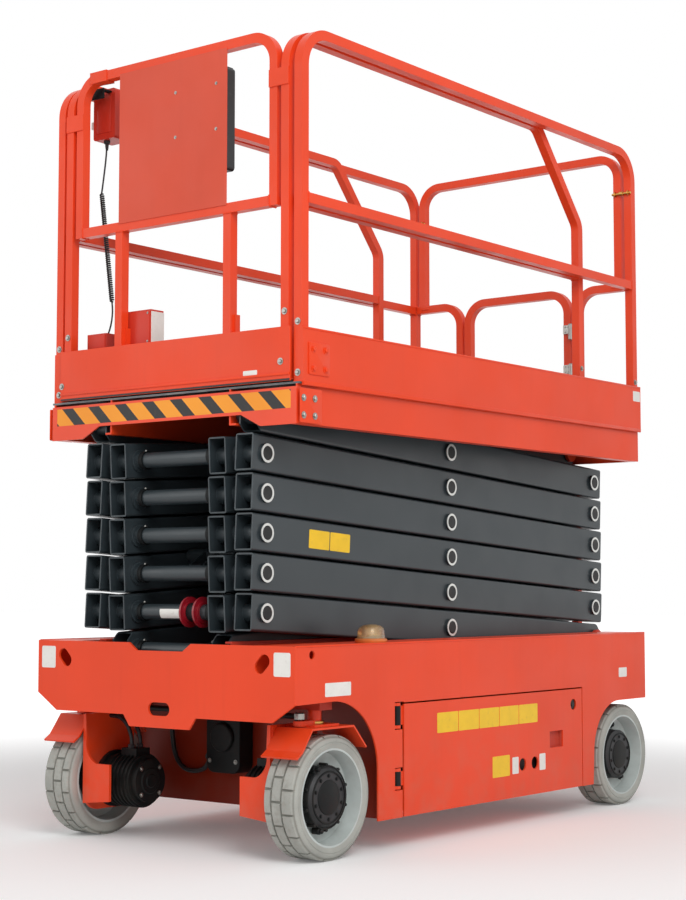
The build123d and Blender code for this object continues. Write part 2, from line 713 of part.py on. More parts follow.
def build_rear_rails():
    x, foot, half = side_post_rear_x, floor_top_z, rail / 2
    across = (1, 0, 0)
    wall = side_rail_y - half
    far_leg = gate_far_y - gate_latch_gap - half
    near_leg = gate_near_y + gate_gap + half
    top = rail_top_z - half
    post = extension_rail_y
    rails = square_tube([(x, -post, mid_rail_z), (x, -post, top), (x, post, top), (x, post, mid_rail_z)],
                        rail, frame_bend, across)
    for leg, end in ((far_leg, -wall), (near_leg, wall)):
        route = [(x, leg, foot), (x, leg, mid_rail_z), (x, end, mid_rail_z)]
        rails += square_tube(route, rail, frame_bend, across)
        rails += block((x - sheet / 2, x + sheet / 2), (leg, end), (foot, rear_toe_top_z))
    pin_x, pin_y = gate_pin()
    for z in gate_hinges:
        rails += block((x + half, x + half + 4), (pin_y, near_leg + 10), (z - 42, z - 22))
        rails += upright(pin_x, pin_y, z - 42, z - 22, gate_knuckle_radius)
        rails += upright(pin_x, pin_y, z - 42, z + 22, gate_pin_radius)
        rails += block((x + half, pin_x), (pin_y, pin_y + gate_knuckle_radius), (z - 42, z - 22))
    save("rear_rails", rails)


def gate_pin():
    # hinge line of the gate, on the inner faces of the posts
    return side_post_rear_x + rail / 2 + 10, gate_near_y + gate_gap / 2


def build_gate():
    x, half = side_post_rear_x, rail / 2
    top = mid_rail_z
    foot = deck_low_z + sheet + 8
    far, near = gate_far_y + half, gate_near_y - half
    route = [(x, far, foot), (x, far, top), (x, near, top), (x, near, foot)]
    gate = square_tube(route, rail, frame_bend, (1, 0, 0))
    gate += block((x - sheet / 2, x + sheet / 2), (far, near), (foot, rear_toe_top_z))
    pin_x, pin_y = gate_pin()
    for z in gate_hinges:
        gate += block((x + half, x + half + 4), (gate_near_y - 30, pin_y), (z - 20, z + 20))
        gate += upright(pin_x, pin_y, z - 20, z + 20, gate_knuckle_radius)
        gate += block((x + half, pin_x), (pin_y - gate_knuckle_radius, pin_y), (z - 20, z + 20))
        gate -= upright(pin_x, pin_y, z - 21, z + 21, gate_pin_radius + running_gap)
    save("entry_gate", gate)


# ---- extension deck ----
def build_extension_deck():
    wide = extension_rail_y + rail / 2
    back, face = platform_front_x - 2 * sheet, platform_front_x - sheet
    save("extension_deck", block((deck_rear_x, back), (-wide, wide), (deck_low_z, deck_low_z + sheet)))
    toe = block((back, face), (-wide - 11, wide + 11), (deck_low_z, front_toe_top_z))
    flange = front_leg_y - rail
    toe += block((back - rail - 4, back), (-flange, flange), (front_toe_top_z - sheet, front_toe_top_z))
    save("front_toe_board", toe)


def build_extension_rails():
    foot, half = deck_low_z + sheet, rail / 2
    top = rail_top_z - half
    face_x = platform_front_x - 2 * sheet
    x = face_x - half
    leg = front_leg_y
    rails = square_tube([(x, -leg, mid_rail_z), (x, -leg, top), (x, leg, top), (x, leg, mid_rail_z)],
                        rail, frame_bend, (1, 0, 0))
    rails += block((x - half, x + half), (-leg - half, leg + half), (mid_rail_z - half, mid_rail_z + half))
    for side in (1, -1):
        y = side * stanchion_y
        rails += block((x - half, x + half), (y - half, y + half), (front_toe_top_z, mid_rail_z))
        socket_z = (front_toe_top_z, front_toe_top_z + socket_height)
        rails += block((x - half - sheet, x), (y - half - 8, y + half + 8), socket_z)
        y = side * extension_rail_y
        route = [(x, y, foot), (x, y, top), (brace_top_x, y, top), (rear_post_x, y, mid_rail_z + 197),
                 (rear_post_x, y, foot)]
        rails += square_tube(route, rail, [rail_bend, 60, 60], (0, 1, 0))
        rails += block((rear_post_x, x), (y - half, y + half), (mid_rail_z - half, mid_rail_z + half))
        # clip that joins the front frame to the side post
        rails += block((face_x - 3, face_x + 4), (side * (leg - half), side * (extension_rail_y + half)),
                       (rail_top_z - 187, rail_top_z - 132))
    save("extension_rails", rails)


def build_extension_boxes():
    face_x = platform_front_x - 2 * sheet
    panel_z = (mid_rail_z + rail / 2 - panel_lap, rail_top_z - rail + panel_lap)
    save("front_panel", block((face_x, face_x + 3), (1 - stanchion_y, stanchion_y - 1), panel_z))
    pocket = block((face_x - 58, face_x), (65, 221), (mid_rail_z + 132, rail_top_z - 77))
    save("document_box", fillet(pocket.edges().filter_by(Axis.X), 12))
    wall = rail / 2 - extension_rail_y
    case = block((face_x - 173, face_x - 93), (wall, wall + 104), (rail_top_z - 201, rail_top_z - 27))
    save("control_box", fillet(case.edges().filter_by(Axis.X), 10))
    socket_x = face_x - rail - sheet
    deep, wide, tall = junction_case
    near, low = -stanchion_y - junction_lap, front_toe_top_z - 28
    junction = block((socket_x - deep, socket_x), (near, near + wide), (low, low + tall))
    deep, wide, tall = pedal_box
    near, low = pedal_box_inset - front_leg_y, deck_low_z + sheet
    pedal = block((socket_x - deep, socket_x), (near, near + wide), (low, low + tall))
    save("junction_box", junction, pedal)


def cord_tube(points, radius):
    runs = [(Vector(*b) - Vector(*a)).length for a, b in zip(points, points[1:])]
    radii = []
    for i in range(1, len(points) - 1):
        before = Vector(*points[i]) - Vector(*points[i - 1])
        after = Vector(*points[i + 1]) - Vector(*points[i])
        turn = radians(before.get_angle(after))
        radii.append(0.45 * min(runs[i - 1], runs[i]) / tan(turn / 2))
    print("cord bend radii", [round(r, 1) for r in radii])
    path = FilletPolyline(*points, radius=radii)
    return sweep(Plane(path @ 0, z_dir=path % 0) * Circle(radius), path=path)


def build_cord():
    # coiled control lead, from the control box down to the deck
    coil_top, coil_end = (948, -438, 2190), (955, -375, 1800)
    box_foot_z = rail_top_z - 201
    save("cord_top", cord_tube([(943, -420, box_foot_z), (943, -421, 2330), (945, -429, 2260), coil_top], 3))
    axis = Vector(*coil_end) - Vector(*coil_top)
    save("cord_coil", extrude(Plane(coil_top, z_dir=axis) * Circle(9), axis.length))
    save("cord_bottom", cord_tube([coil_end, (955, -371, 1765), (953, -382, 1715), (951, -412, 1665),
                                   (949, -445, 1610), (948, -466, 1550), (947, -473, 1500),
                                   (947, -474, deck_low_z + sheet)], 3))


build_chassis_frame()
build_side_plates()
build_front_plate()
build_stack_mounts()
build_rear_axle()
build_steer_beam()
build_knuckles()
build_tie_rod()
build_wheels()
build_doors()
build_beacon()
build_ladder()
build_stack()
build_platform_frame()
build_platform_mounts()
build_platform_skin()
build_side_rails()
build_rear_rails()
build_gate()
build_extension_deck()
build_extension_rails()
build_extension_boxes()
build_cord()
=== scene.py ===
import json
import math

import bmesh
import bpy
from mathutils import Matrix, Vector


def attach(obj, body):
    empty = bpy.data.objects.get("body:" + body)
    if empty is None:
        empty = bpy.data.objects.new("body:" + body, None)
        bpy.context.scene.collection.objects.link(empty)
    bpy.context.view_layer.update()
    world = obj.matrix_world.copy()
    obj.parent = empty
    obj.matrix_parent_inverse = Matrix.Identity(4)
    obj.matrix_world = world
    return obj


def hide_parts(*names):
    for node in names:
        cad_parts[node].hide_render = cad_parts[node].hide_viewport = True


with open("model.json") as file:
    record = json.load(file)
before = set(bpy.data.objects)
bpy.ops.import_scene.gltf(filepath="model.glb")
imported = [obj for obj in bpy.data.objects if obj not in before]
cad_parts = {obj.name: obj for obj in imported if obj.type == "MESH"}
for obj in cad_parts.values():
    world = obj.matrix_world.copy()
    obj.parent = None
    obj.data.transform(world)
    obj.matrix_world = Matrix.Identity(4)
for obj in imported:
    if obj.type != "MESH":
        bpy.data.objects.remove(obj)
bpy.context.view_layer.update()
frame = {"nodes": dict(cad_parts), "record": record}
nodes = frame["nodes"]
print("frame loaded:", len(nodes), "nodes")


# node maths, for finishes and for repeated shapes
class Wire:
    def __init__(self, tree, socket=None):
        self.tree, self.socket = tree, socket

    def make(self, kind, settings=(), values=(), out=0):
        node = self.tree.nodes.new(kind)
        for name, value in dict(settings).items():
            setattr(node, name, value)
        for name, value in dict(values).items():
            for link in value if isinstance(value, list) else [value]:
                if isinstance(link, Wire):
                    self.tree.links.new(link.socket, node.inputs[name])
                else:
                    node.inputs[name].default_value = link
        return Wire(self.tree, node.outputs[out])

    def geometry(self, kind, values=(), settings=()):
        return self.make("GeometryNode" + kind, settings, values)

    def vector(self, x, y, z):
        return self.make("ShaderNodeCombineXYZ", {}, {0: x, 1: y, 2: z})

    def math(self, operation, a, b=0.0):
        return self.make("ShaderNodeMath", {"operation": operation}, {0: a, 1: b})

    def __rsub__(self, other):
        return self.math("SUBTRACT", other, self)

    def __abs__(self):
        return self.math("ABSOLUTE", self)

    def spread(self, low, high, toLow=0.0, toHigh=1.0):
        # 0 below low, 1 above high, smooth between
        return self.make("ShaderNodeMapRange", {"interpolation_type": "SMOOTHSTEP"},
                         {0: self, 1: low, 2: high, 3: toLow, 4: toHigh})

    def axes(self):
        node = self.make("ShaderNodeSeparateXYZ", {}, {0: self}).socket.node
        return [Wire(self.tree, socket) for socket in node.outputs]


# wires can be added, compared and so on like numbers
for sign, operation in (("add", "ADD"), ("radd", "ADD"), ("sub", "SUBTRACT"), ("mul", "MULTIPLY"),
                        ("rmul", "MULTIPLY"), ("truediv", "DIVIDE"), ("gt", "GREATER_THAN"),
                        ("lt", "LESS_THAN")):
    setattr(Wire, f"__{sign}__", lambda wire, other, operation=operation: wire.math(operation, wire, other))


def rgb(red, green, blue):
    # written as on a colour chart, 0 to 255
    linear = [((c / 255 + 0.055) / 1.055) ** 2.4 if c > 10 else c / 255 / 12.92 for c in (red, green, blue)]
    return (*linear, 1)


def shade(colour, factor):
    return (*[min(1, c * factor) for c in colour[:3]], 1)


# finishes
axles = {"along": 0.898, "height": 0.1905}


class Look(Wire):
    def __init__(self, name):
        self.material = bpy.data.materials.new(name)
        self.material.use_nodes = True
        super().__init__(self.material.node_tree)
        self.shader = self.tree.nodes["Principled BSDF"]
        self.place = self.make("ShaderNodeTexCoord", out=3)

    def grain(self, scale, detail=2.0, stretch=None):
        place = self.place
        if stretch:
            place = self.make("ShaderNodeMapping", {}, {"Vector": place, "Scale": stretch})
        return self.make("ShaderNodeTexNoise", {}, {"Vector": place, "Scale": scale, "Detail": detail})

    def patches(self, scale, detail, low, high):
        return self.grain(scale, detail).spread(low, high)

    def blend(self, factor, first, second):
        return self.make("ShaderNodeMix", {"data_type": "RGBA"}, {0: factor, 6: first, 7: second}, 2)

    def mottled(self, colour, scale, detail, dark, light):
        tone = self.patches(scale, detail, 0.3, 0.7)
        return tone, self.blend(tone, shade(colour, dark), shade(colour, light))

    def roundedEdges(self, radius, breakUp):
        # 1 along outside and inside corners, broken up by a grain
        rounded = self.make("ShaderNodeBevel", {"samples": 4}, {"Radius": radius})
        flat = self.make("ShaderNodeNewGeometry", out=1)
        along = self.make("ShaderNodeVectorMath", {"operation": "DOT_PRODUCT"}, {0: rounded, 1: flat}, 1)
        return (1 - along).spread(0.03, 0.3) * self.patches(breakUp, 3, 0.42, 0.62)

    def wheelRadius(self):
        # distance from the nearer axle line, as both axles lie equally far from the middle
        across, _, up = self.place.axes()
        along, rise = abs(across) - axles["along"], up - axles["height"]
        return self.math("SQRT", along * along + rise * rise)

    def finish(self, colour, rough, height, depth, strength, values=()):
        bump = self.make("ShaderNodeBump", {}, {"Height": height, "Strength": strength, "Distance": depth})
        for name, wire in (("Base Color", colour), ("Roughness", rough), ("Normal", bump)):
            self.tree.links.new(wire.socket, self.shader.inputs[name])
        for name, value in dict(values).items():
            self.shader.inputs[name].default_value = value
        return self.material


# by default a paint has no painted shade on the bay's front wall
paintLook = {"rough": 0.36, "tone": 0.07, "wear": 0.3, "wearRadius": 0.0035, "dust": 0.16, "dustTop": 0.55,
             "dustColour": rgb(168, 150, 132), "peel": 0.0004, "specular": 0.3, "edge": 1.5, "soot": 0.0}


def paint(name, colour, **changes):
    facts, look = {**paintLook, **changes}, Look(name)
    _, body = look.mottled(colour, 1.9, 4, 1 - facts["tone"], 1 + facts["tone"] / 2)
    streaks = look.grain(1.0, 3, (38, 38, 2.5)).spread(0.5, 0.8)
    body = look.blend(streaks * 0.12, body, shade(colour, 0.8))
    x, y, z = look.place.axes()
    dusty = z.spread(0.02, facts["dustTop"], 1.0, 0.0) * look.patches(14, 5, 0.35, 0.75) * facts["dust"]
    body = look.blend(dusty, body, facts["dustColour"])
    if facts["soot"]:
        # painted shade on the bay's front wall, low down between the front wheels, where it lies in shadow
        shadedBay = (x > 0.625) * (x < 0.645) * (abs(y) < 0.55) * (z < 0.54)
        body = look.blend(shadedBay * facts["soot"], body, shade(colour, 0.12))
    # edges lighter: wear on most paints, and on the grey arms a painted highlight along the tube edges
    edgeBand = look.roundedEdges(facts["wearRadius"], 30)
    body = look.blend(edgeBand * facts["wear"], body, shade(colour, facts["edge"]))
    rough = facts["rough"] + look.grain(7, 4).spread(0.3, 0.7, -0.05, 0.07) + dusty * 0.6 + edgeBand * 0.12
    height = look.grain(330, 1) * 0.5 + look.grain(9, 2)
    return look.finish(body, rough, height, facts["peel"], 0.35, {"Specular IOR Level": facts["specular"]})


def metal(name, colour, rough, scratch=0.1, stretch=(60, 60, 9)):
    look = Look(name)
    lines = look.grain(9, 4, stretch)
    tone = look.blend(lines.spread(0.3, 0.75), shade(colour, 0.8), colour)
    tarnish = look.patches(22, 4, 0.5, 0.85)
    body = look.blend(tarnish * 0.35, tone, shade(colour, 0.45))
    return look.finish(body, rough + (lines - 0.5) * scratch + tarnish * 0.15, lines, 0.0002, 0.3,
                       {"Metallic": 1})


def plastic(name, colour, rough, coat=0.0):
    look = Look(name)
    tone, body = look.mottled(colour, 11, 4, 0.86, 1.12)
    dusty = look.patches(34, 5, 0.52, 0.8)
    body = look.blend(dusty * 0.1, body, rgb(150, 144, 136))
    body = look.blend(look.roundedEdges(0.002, 60) * 0.2, body, rgb(126, 124, 122))
    return look.finish(body, rough + (tone - 0.5) * 0.1 + dusty * 0.12, look.grain(1400), 0.00025, 0.5,
                       {"Coat Weight": coat})


def tyreRubber(name, colour):
    look = Look(name)
    radius = look.wheelRadius()
    tone, body = look.mottled(colour, 9, 5, 0.84, 1.06)
    groove = radius.spread(0.1845, 0.1885, 1.0, 0.0) * radius.spread(0.181, 0.183)
    body = look.blend(groove * 0.55, body, rgb(112, 110, 102))
    scuffed = radius.spread(0.172, 0.19) * look.patches(60, 5, 0.45, 0.7)
    body = look.blend(scuffed * 0.3, body, rgb(138, 132, 120))
    body = look.blend(look.patches(190, 3, 0.62, 0.75) * 0.25, body, rgb(96, 94, 88))
    return look.finish(body, 0.74 + scuffed * 0.15 + (tone - 0.5) * 0.08,
                       look.grain(520, 3) + look.grain(60, 3), 0.0006, 0.5)


def wheelRim(name, colour, hubColour, hubRadius):
    look = Look(name)
    radius = look.wheelRadius()
    tone, pale = look.mottled(colour, 8, 4, 0.9, 1.04)
    grime = look.patches(26, 5, 0.42, 0.75) * radius.spread(0.09, 0.14, 1.0, 0.35)
    pale = look.blend(grime * 0.35, pale, rgb(122, 118, 108))
    hub = radius < hubRadius
    body = look.blend(hub, pale, look.blend(tone, shade(hubColour, 0.8), shade(hubColour, 1.5)))
    body = look.blend(look.roundedEdges(0.003, 40) * 0.25, body, rgb(170, 170, 166))
    return look.finish(body, 0.44 + grime * 0.25 + hub * 0.02, look.grain(380), 0.0004, 0.4)


fasciaTape = {"low": 1.375, "high": 1.432, "halfWidth": 0.515, "front": 1.0692, "pitch": 0.125, "lean": 1.05,
              "share": 0.42, "shift": -0.012}


def stripedPaint(name, colour, tape):
    look = Look(name)
    x, y, z = look.place.axes()
    tone, red = look.mottled(colour, 2, 4, 0.93, 1.04)
    # 8 m keep the count of stripes positive
    along = (y + z * tape["lean"] + 8 + tape["shift"]) / tape["pitch"]
    black = look.math("FRACT", along) < tape["share"]
    scuff = look.patches(45, 5, 0.52, 0.72)
    yellow = look.blend(tone, rgb(240, 146, 20), rgb(248, 158, 34))
    ink = look.blend(scuff * 0.3, rgb(17, 15, 14), rgb(70, 60, 50))
    onTape = (z > tape["low"]) * (z < tape["high"]) * (abs(y) < tape["halfWidth"]) * (x > tape["front"])
    body = look.blend(onTape, red, look.blend(black, yellow, ink))
    edgeBand = look.roundedEdges(0.003, 30) * (1 - onTape)
    body = look.blend(edgeBand * 0.3, body, shade(colour, 1.7))
    return look.finish(body, 0.4 + onTape * 0.08 + scuff * 0.06, onTape + look.grain(330, 1) * 0.2, 0.0003,
                       0.5)


def labelVinyl(name, colour):
    look = Look(name)
    _, body = look.mottled(colour, 16, 4, 0.93, 1)
    soiled = look.patches(70, 5, 0.55, 0.8)
    body = look.blend(soiled * 0.18, body, rgb(140, 126, 108))
    return look.finish(body, 0.42 + soiled * 0.15, look.grain(240), 0.0002, 0.3)


def lensPlastic(name, colour):
    look = Look(name)
    ribs = look.make("ShaderNodeTexWave", {"bands_direction": "Z"},
                     {"Vector": look.place, "Scale": 90.0, "Distortion": 0.0})
    tone, body = look.mottled(colour, 18, 3, 0.85, 1.15)
    return look.finish(body, 0.12 + tone * 0.06, ribs, 0.0006, 0.5,
                       {"Transmission Weight": 0.92, "Coat Weight": 0.5})


def treadFloor(name, colour):
    look = Look(name)
    _, body = look.mottled(colour, 4, 5, 0.75, 1.15)
    trodden = look.patches(11, 5, 0.48, 0.75)
    body = look.blend(trodden * 0.4, body, rgb(150, 148, 142))
    edgeBand = look.roundedEdges(0.003, 50)
    body = look.blend(edgeBand * 0.5, body, rgb(186, 184, 180))
    return look.finish(body, 0.5 - edgeBand * 0.15 + trodden * 0.1, look.grain(260, 3), 0.0005, 0.4,
                       {"Metallic": 0.35})


def leadRubber(name, colour):
    look = Look(name)
    tone, body = look.mottled(colour, 30, 3, 0.75, 1.4)
    return look.finish(body, 0.46 + tone * 0.12, look.grain(1500), 0.0002, 0.4)


machineRed = rgb(236, 70, 30)
finish = {
    # the chassis paint also carries painted shade, much darker, on the bay's front wall
    "chassis_red": paint("chassisPaint", machineRed, soot=0.8),
    "platform_red": paint("platformPaint", machineRed, dust=0.0),
    "axle_red": paint("axlePaint", rgb(196, 58, 38), dust=0.3, rough=0.45),
    "panel_red": paint("panelPaint", rgb(216, 82, 58), dust=0.0, rough=0.5),
    # the grey arms' much lighter edges are painted highlight along the tube edges, with some wear
    "arm_grey": paint("armPaint", rgb(46, 54, 58), dust=0.0, wear=0.6, edge=4.0, specular=0.5),
    "motor_black": paint("motorPaint", rgb(17, 19, 20), dust=0.04, rough=0.5, edge=4.0, specular=0.2),
    "tyre_grey": tyreRubber("tyreRubber", rgb(172, 173, 166)),
    "rim_grey": wheelRim("rimPaint", rgb(192, 200, 197), rgb(26, 26, 28), 0.0945),
    "battery_black": plastic("batteryCase", rgb(36, 36, 39), 0.5),
    "beacon_amber": lensPlastic("beaconLens", rgb(255, 216, 172)),
    "cylinder_black": paint("cylinderPaint", rgb(26, 27, 29), dust=0.0, rough=0.3, edge=4.0, specular=0.5),
    "rod_chrome": metal("rodChrome", rgb(214, 216, 220), 0.1, 0.04, (4, 90, 90)),
    "floor_plate": treadFloor("floorPaint", rgb(92, 95, 98)),
    "stripe": stripedPaint("fasciaPaint", machineRed, fasciaTape),
    "box_black": plastic("documentPlastic", rgb(26, 26, 28), 0.42),
    "control_red": paint("controlPaint", rgb(206, 58, 40), dust=0.0, rough=0.38),
    "cord_black": leadRubber("leadRubber", rgb(22, 22, 24)),
}
pinPlastic = plastic("pinBlack", rgb(8, 9, 10), 0.55)
whiteVinyl = labelVinyl("blankWhiteLabel", rgb(236, 234, 228))
# what small pieces are made of, each with the record's slot that it goes under
looks = {slot: (slot, material) for slot, material in finish.items()} | {
    "zinc": ("rod_chrome", metal("zincSteel", rgb(168, 167, 162), 0.34)),
    "brightZinc": ("rod_chrome", metal("brightSteel", rgb(226, 226, 222), 0.42)),
    "brass": ("rod_chrome", metal("brassWasher", rgb(214, 168, 92), 0.32)),
    "lockBlack": ("rod_chrome", pinPlastic),
    "pinBlack": ("motor_black", pinPlastic),
    "crimson": ("control_red", plastic("crimsonRing", rgb(150, 18, 34), 0.35, 0.3)),
    "stopRed": ("control_red", plastic("stopButton", rgb(196, 24, 20), 0.3, 0.3)),
    "amberBase": ("stripe", plastic("amberPlastic", rgb(214, 120, 52), 0.35, 0.2)),
    "moulded": ("box_black", plastic("blackPlastic", rgb(24, 24, 26), 0.45)),
    "hose": ("cord_black", leadRubber("hoseRubber", rgb(20, 20, 22))),
    "whiteLabel": ("rim_grey", whiteVinyl),
    "yellowLabel": ("stripe", labelVinyl("blankYellowLabel", rgb(246, 200, 20))),
}
for part in frame["record"]["subparts"]:
    mesh = nodes[part["node"]].data
    mesh.materials.clear()
    mesh.materials.append(finish[part["material_slot"]])
print("finishes:", len(bpy.data.materials))

# camera and studio
cameraAt = {"place": (5.181, 3.940, 0.833), "heading": 218.096, "rise": 4.416, "lens": 70.82}
studio = {"sky": 0.52, "paper": 0.9, "floorHalf": 40, "floorRough": 0.9,
          # the floor's own glow, between two distances from the middle
          "glow": {"near": 2.0, "far": 5.0, "low": 0.1, "high": 0.6},
          "key": {"place": (4.5, 5.5, 5.5), "aim": (0, 0, 1.1), "size": (4, 4), "power": 320},
          "fill": {"place": (5.5, -3.5, 3.0), "aim": (0, 0, 1.0), "size": (4, 3), "power": 42}}


def addToScene(name, data, place=(0, 0, 0), look=None):
    holder = bpy.data.objects.new(name, data)
    holder.location = place
    if look:
        holder.rotation_euler = look.to_track_quat("-Z", "Y").to_euler()
    bpy.context.scene.collection.objects.link(holder)
    return holder


def addCamera(facts):
    camera = bpy.data.cameras.new("camera")
    camera.lens = facts["lens"]
    camera.sensor_fit = "VERTICAL"
    camera.sensor_height = 36
    heading, rise = math.radians(facts["heading"]), math.radians(facts["rise"])
    look = Vector((math.cos(heading) * math.cos(rise), math.sin(heading) * math.cos(rise), math.sin(rise)))
    bpy.context.scene.camera = addToScene("camera", camera, facts["place"], look)


def addLamp(name, facts):
    lamp = bpy.data.lights.new(name, "AREA")
    lamp.shape = "RECTANGLE"
    lamp.size, lamp.size_y = facts["size"]
    lamp.energy = facts["power"]
    addToScene(name, lamp, facts["place"], Vector(facts["aim"]) - Vector(facts["place"]))


def seenBare(w):
    # 1 where the camera, a mirror or glass looks at it
    rays = w.make("ShaderNodeLightPath").socket.node.outputs
    camera, glossy, through = [Wire(w.tree, rays[f"Is {kind} Ray"])
                               for kind in ("Camera", "Glossy", "Transmission")]
    return w.math("MINIMUM", camera + glossy + through, 1.0)


def addStudio(facts):
    world = bpy.data.worlds.new("studio")
    bpy.context.scene.world = world
    world.use_nodes = True
    w = Wire(world.node_tree)
    background = world.node_tree.nodes["Background"]
    background.inputs["Color"].default_value = (1, 1, 1, 1)
    strength = w.math("MAXIMUM", seenBare(w), facts["sky"])
    world.node_tree.links.new(strength.socket, background.inputs["Strength"])
    addLamp("key", facts["key"])
    addLamp("fill", facts["fill"])
    bpy.context.scene.view_settings.view_transform = "Standard"
    mesh, half = bpy.data.meshes.new("floor"), facts["floorHalf"]
    mesh.from_pydata([(-half, -half, 0), (half, -half, 0), (half, half, 0), (-half, half, 0)], [],
                     [(0, 1, 2, 3)])
    paper = Look("floorPaper")
    paper.shader.inputs["Base Color"].default_value = (facts["paper"],) * 3 + (1,)
    paper.shader.inputs["Roughness"].default_value = facts["floorRough"]
    # the paper glows a little for the camera, more where the lamps no longer reach
    x, y, _ = paper.place.axes()
    glow = paper.math("SQRT", x * x + y * y).spread(*facts["glow"].values())
    paper.tree.links.new(glow.socket, paper.shader.inputs["Emission Color"])
    paper.tree.links.new(seenBare(paper).socket, paper.shader.inputs["Emission Strength"])
    mesh.materials.append(paper.material)
    addToScene("floor", mesh)


addCamera(cameraAt)
addStudio(studio)

# coiled control lead
leadSizes = {
    "wire": 0.006, "coilWidth": 0.018, "turns": 52, "pointsPerTurn": 12,
    "top": [(0.943, -0.420, 2.371), (0.943, -0.421, 2.330), (0.945, -0.429, 2.260), (0.948, -0.438, 2.190)],
    "bottom": [(0.955, -0.375, 1.800), (0.955, -0.371, 1.765), (0.953, -0.382, 1.715), (0.951, -0.412, 1.665),
               (0.949, -0.445, 1.610), (0.948, -0.466, 1.550), (0.947, -0.473, 1.500),
               (0.947, -0.474, 1.466)],
}


def coilPoints(start, end, radius, turns, perTurn):
    # a helix whose radius grows from the line at the start and closes to it at the end
    axis = (end - start).normalized()
    side = axis.cross(Vector((0, 1, 0))).normalized()
    other = axis.cross(side)
    points = []
    for i in range(1, turns * perTurn):
        along = i / (turns * perTurn)
        grown = radius * min(1, along * turns, (1 - along) * turns)
        turn = 2 * math.pi * turns * along
        points.append(start.lerp(end, along) + grown * (math.cos(turn) * side + math.sin(turn) * other))
    return points


def addLead(sizes, material):
    top, bottom = [[Vector(p) for p in sizes[end]] for end in ("top", "bottom")]
    radius = (sizes["coilWidth"] - sizes["wire"]) / 2
    line = top + coilPoints(top[-1], bottom[0], radius, sizes["turns"], sizes["pointsPerTurn"]) + bottom
    curve = bpy.data.curves.new("controlLead", "CURVE")
    curve.dimensions = "3D"
    spline = curve.splines.new("NURBS")
    spline.points.add(len(line) - 1)
    for point, place in zip(spline.points, line):
        point.co = (*place, 1)
    spline.order_u = 3
    spline.use_endpoint_u = True
    curve.bevel_depth = sizes["wire"] / 2
    curve.bevel_resolution = 3
    curve.use_fill_caps = True
    curve.resolution_u = 3
    curve.materials.append(material)
    lead = addToScene("controlLead", curve)
    # the smoothed wire is a little shorter than the line through its points
    length = sum((b - a).length for a, b in zip(line, line[1:]))
    print("lead length", round(length, 3))
    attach(lead, "extension")
    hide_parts("cord_top", "cord_coil", "cord_bottom")


addLead(leadSizes, finish["cord_black"])


# shapes built one by one, in millimetres
def mm(*values):
    return Vector([value / 1000 for value in values])


def sideways(axis):
    axis = Vector(axis).normalized()
    other = Vector((0, 0, 1)) if abs(axis.z) < 0.9 else Vector((1, 0, 0))
    across = axis.cross(other).normalized()
    return axis, across, axis.cross(across)


def addRing(shape, centre, across, up, radius, steps):
    turns = [2 * math.pi * i / steps for i in range(steps)]
    return [shape.verts.new(centre + (across * math.cos(turn) + up * math.sin(turn)) * radius / 1000)
            for turn in turns]


def joinRings(shape, pairs, steps):
    # a ring may be a single point
    for first, second in pairs:
        for i in range(steps):
            j = (i + 1) % steps
            corners = [first[i % len(first)], first[j % len(first)], second[j % len(second)],
                       second[i % len(second)]]
            corners = list(dict.fromkeys(corners))
            if len(corners) > 2:
                shape.faces.new(corners)


def addBox(shape, low, high):
    low, high = mm(*low), mm(*high)
    size, middle = high - low, (high + low) / 2
    for corner in bmesh.ops.create_cube(shape, size=1)["verts"]:
        corner.co = Vector([c * s for c, s in zip(corner.co, size)]) + middle


def addTurned(shape, section, middle, axis, steps=32, closed=False):
    # section of (radius, distance along the axis), turned about the axis
    axis, across, up = sideways(axis)
    rings = []
    for radius, along in section:
        centre = mm(*middle) + axis * along / 1000
        rings.append(addRing(shape, centre, across, up, radius, steps) if radius
                     else [shape.verts.new(centre)])
    joinRings(shape, list(zip(rings, rings[1:])) + [(rings[-1], rings[0])] * closed, steps)


def addTube(shape, points, radius, sides=10):
    # round rod through its points
    line = [mm(*p) for p in points]
    across, rings = None, []
    for i, place in enumerate(line):
        way = (line[min(i + 1, len(line) - 1)] - line[max(i - 1, 0)]).normalized()
        if across is None:
            _, across, _ = sideways(way)
        across = (across - way * across.dot(way)).normalized()
        rings.append(addRing(shape, place, across, way.cross(across), radius, sides))
    joinRings(shape, zip(rings, rings[1:]), sides)
    shape.faces.new(rings[0])
    shape.faces.new(rings[-1])


def smoothPath(points, steps=6):
    # rounds a hose's route through its points
    line = [Vector(p) for p in points]
    ends = [line[0]] + line + [line[-1]]
    places = []
    for a, b, c, d in zip(ends, ends[1:], ends[2:], ends[3:]):
        for step in range(steps):
            t = step / steps
            places.append(0.5 * (2 * b + (c - a) * t + (2 * a - 5 * b + 4 * c - d) * t * t
                                 + (3 * b - a - 3 * c + d) * t * t * t))
    return places + [line[-1]]


def roundedRectangle(width, height, radius, steps=4):
    corners = []
    for cx, cy, start in ((1, 1, 0), (-1, 1, 90), (-1, -1, 180), (1, -1, 270)):
        for i in range(steps + 1):
            angle = math.radians(start + 90 * i / steps)
            corners.append((cx * (width / 2 - radius) + radius * math.cos(angle),
                            cy * (height / 2 - radius) + radius * math.sin(angle)))
    return corners


def addSlab(shape, outline, middle, axis, across, thickness):
    # flat outline standing on middle, facing along axis; across is its first direction
    up, base = axis.cross(across), mm(*middle)
    low = [shape.verts.new(base + (across * u + up * v) / 1000) for u, v in outline]
    high = [shape.verts.new(corner.co + axis * thickness / 1000) for corner in low]
    shape.faces.new(low[::-1])
    shape.faces.new(high)
    for i in range(len(low)):
        j = (i + 1) % len(low)
        shape.faces.new((low[i], low[j], high[j], high[i]))


def meshOf(shape, name):
    mesh = bpy.data.meshes.new(name)
    shape.to_mesh(mesh)
    shape.free()
    return mesh


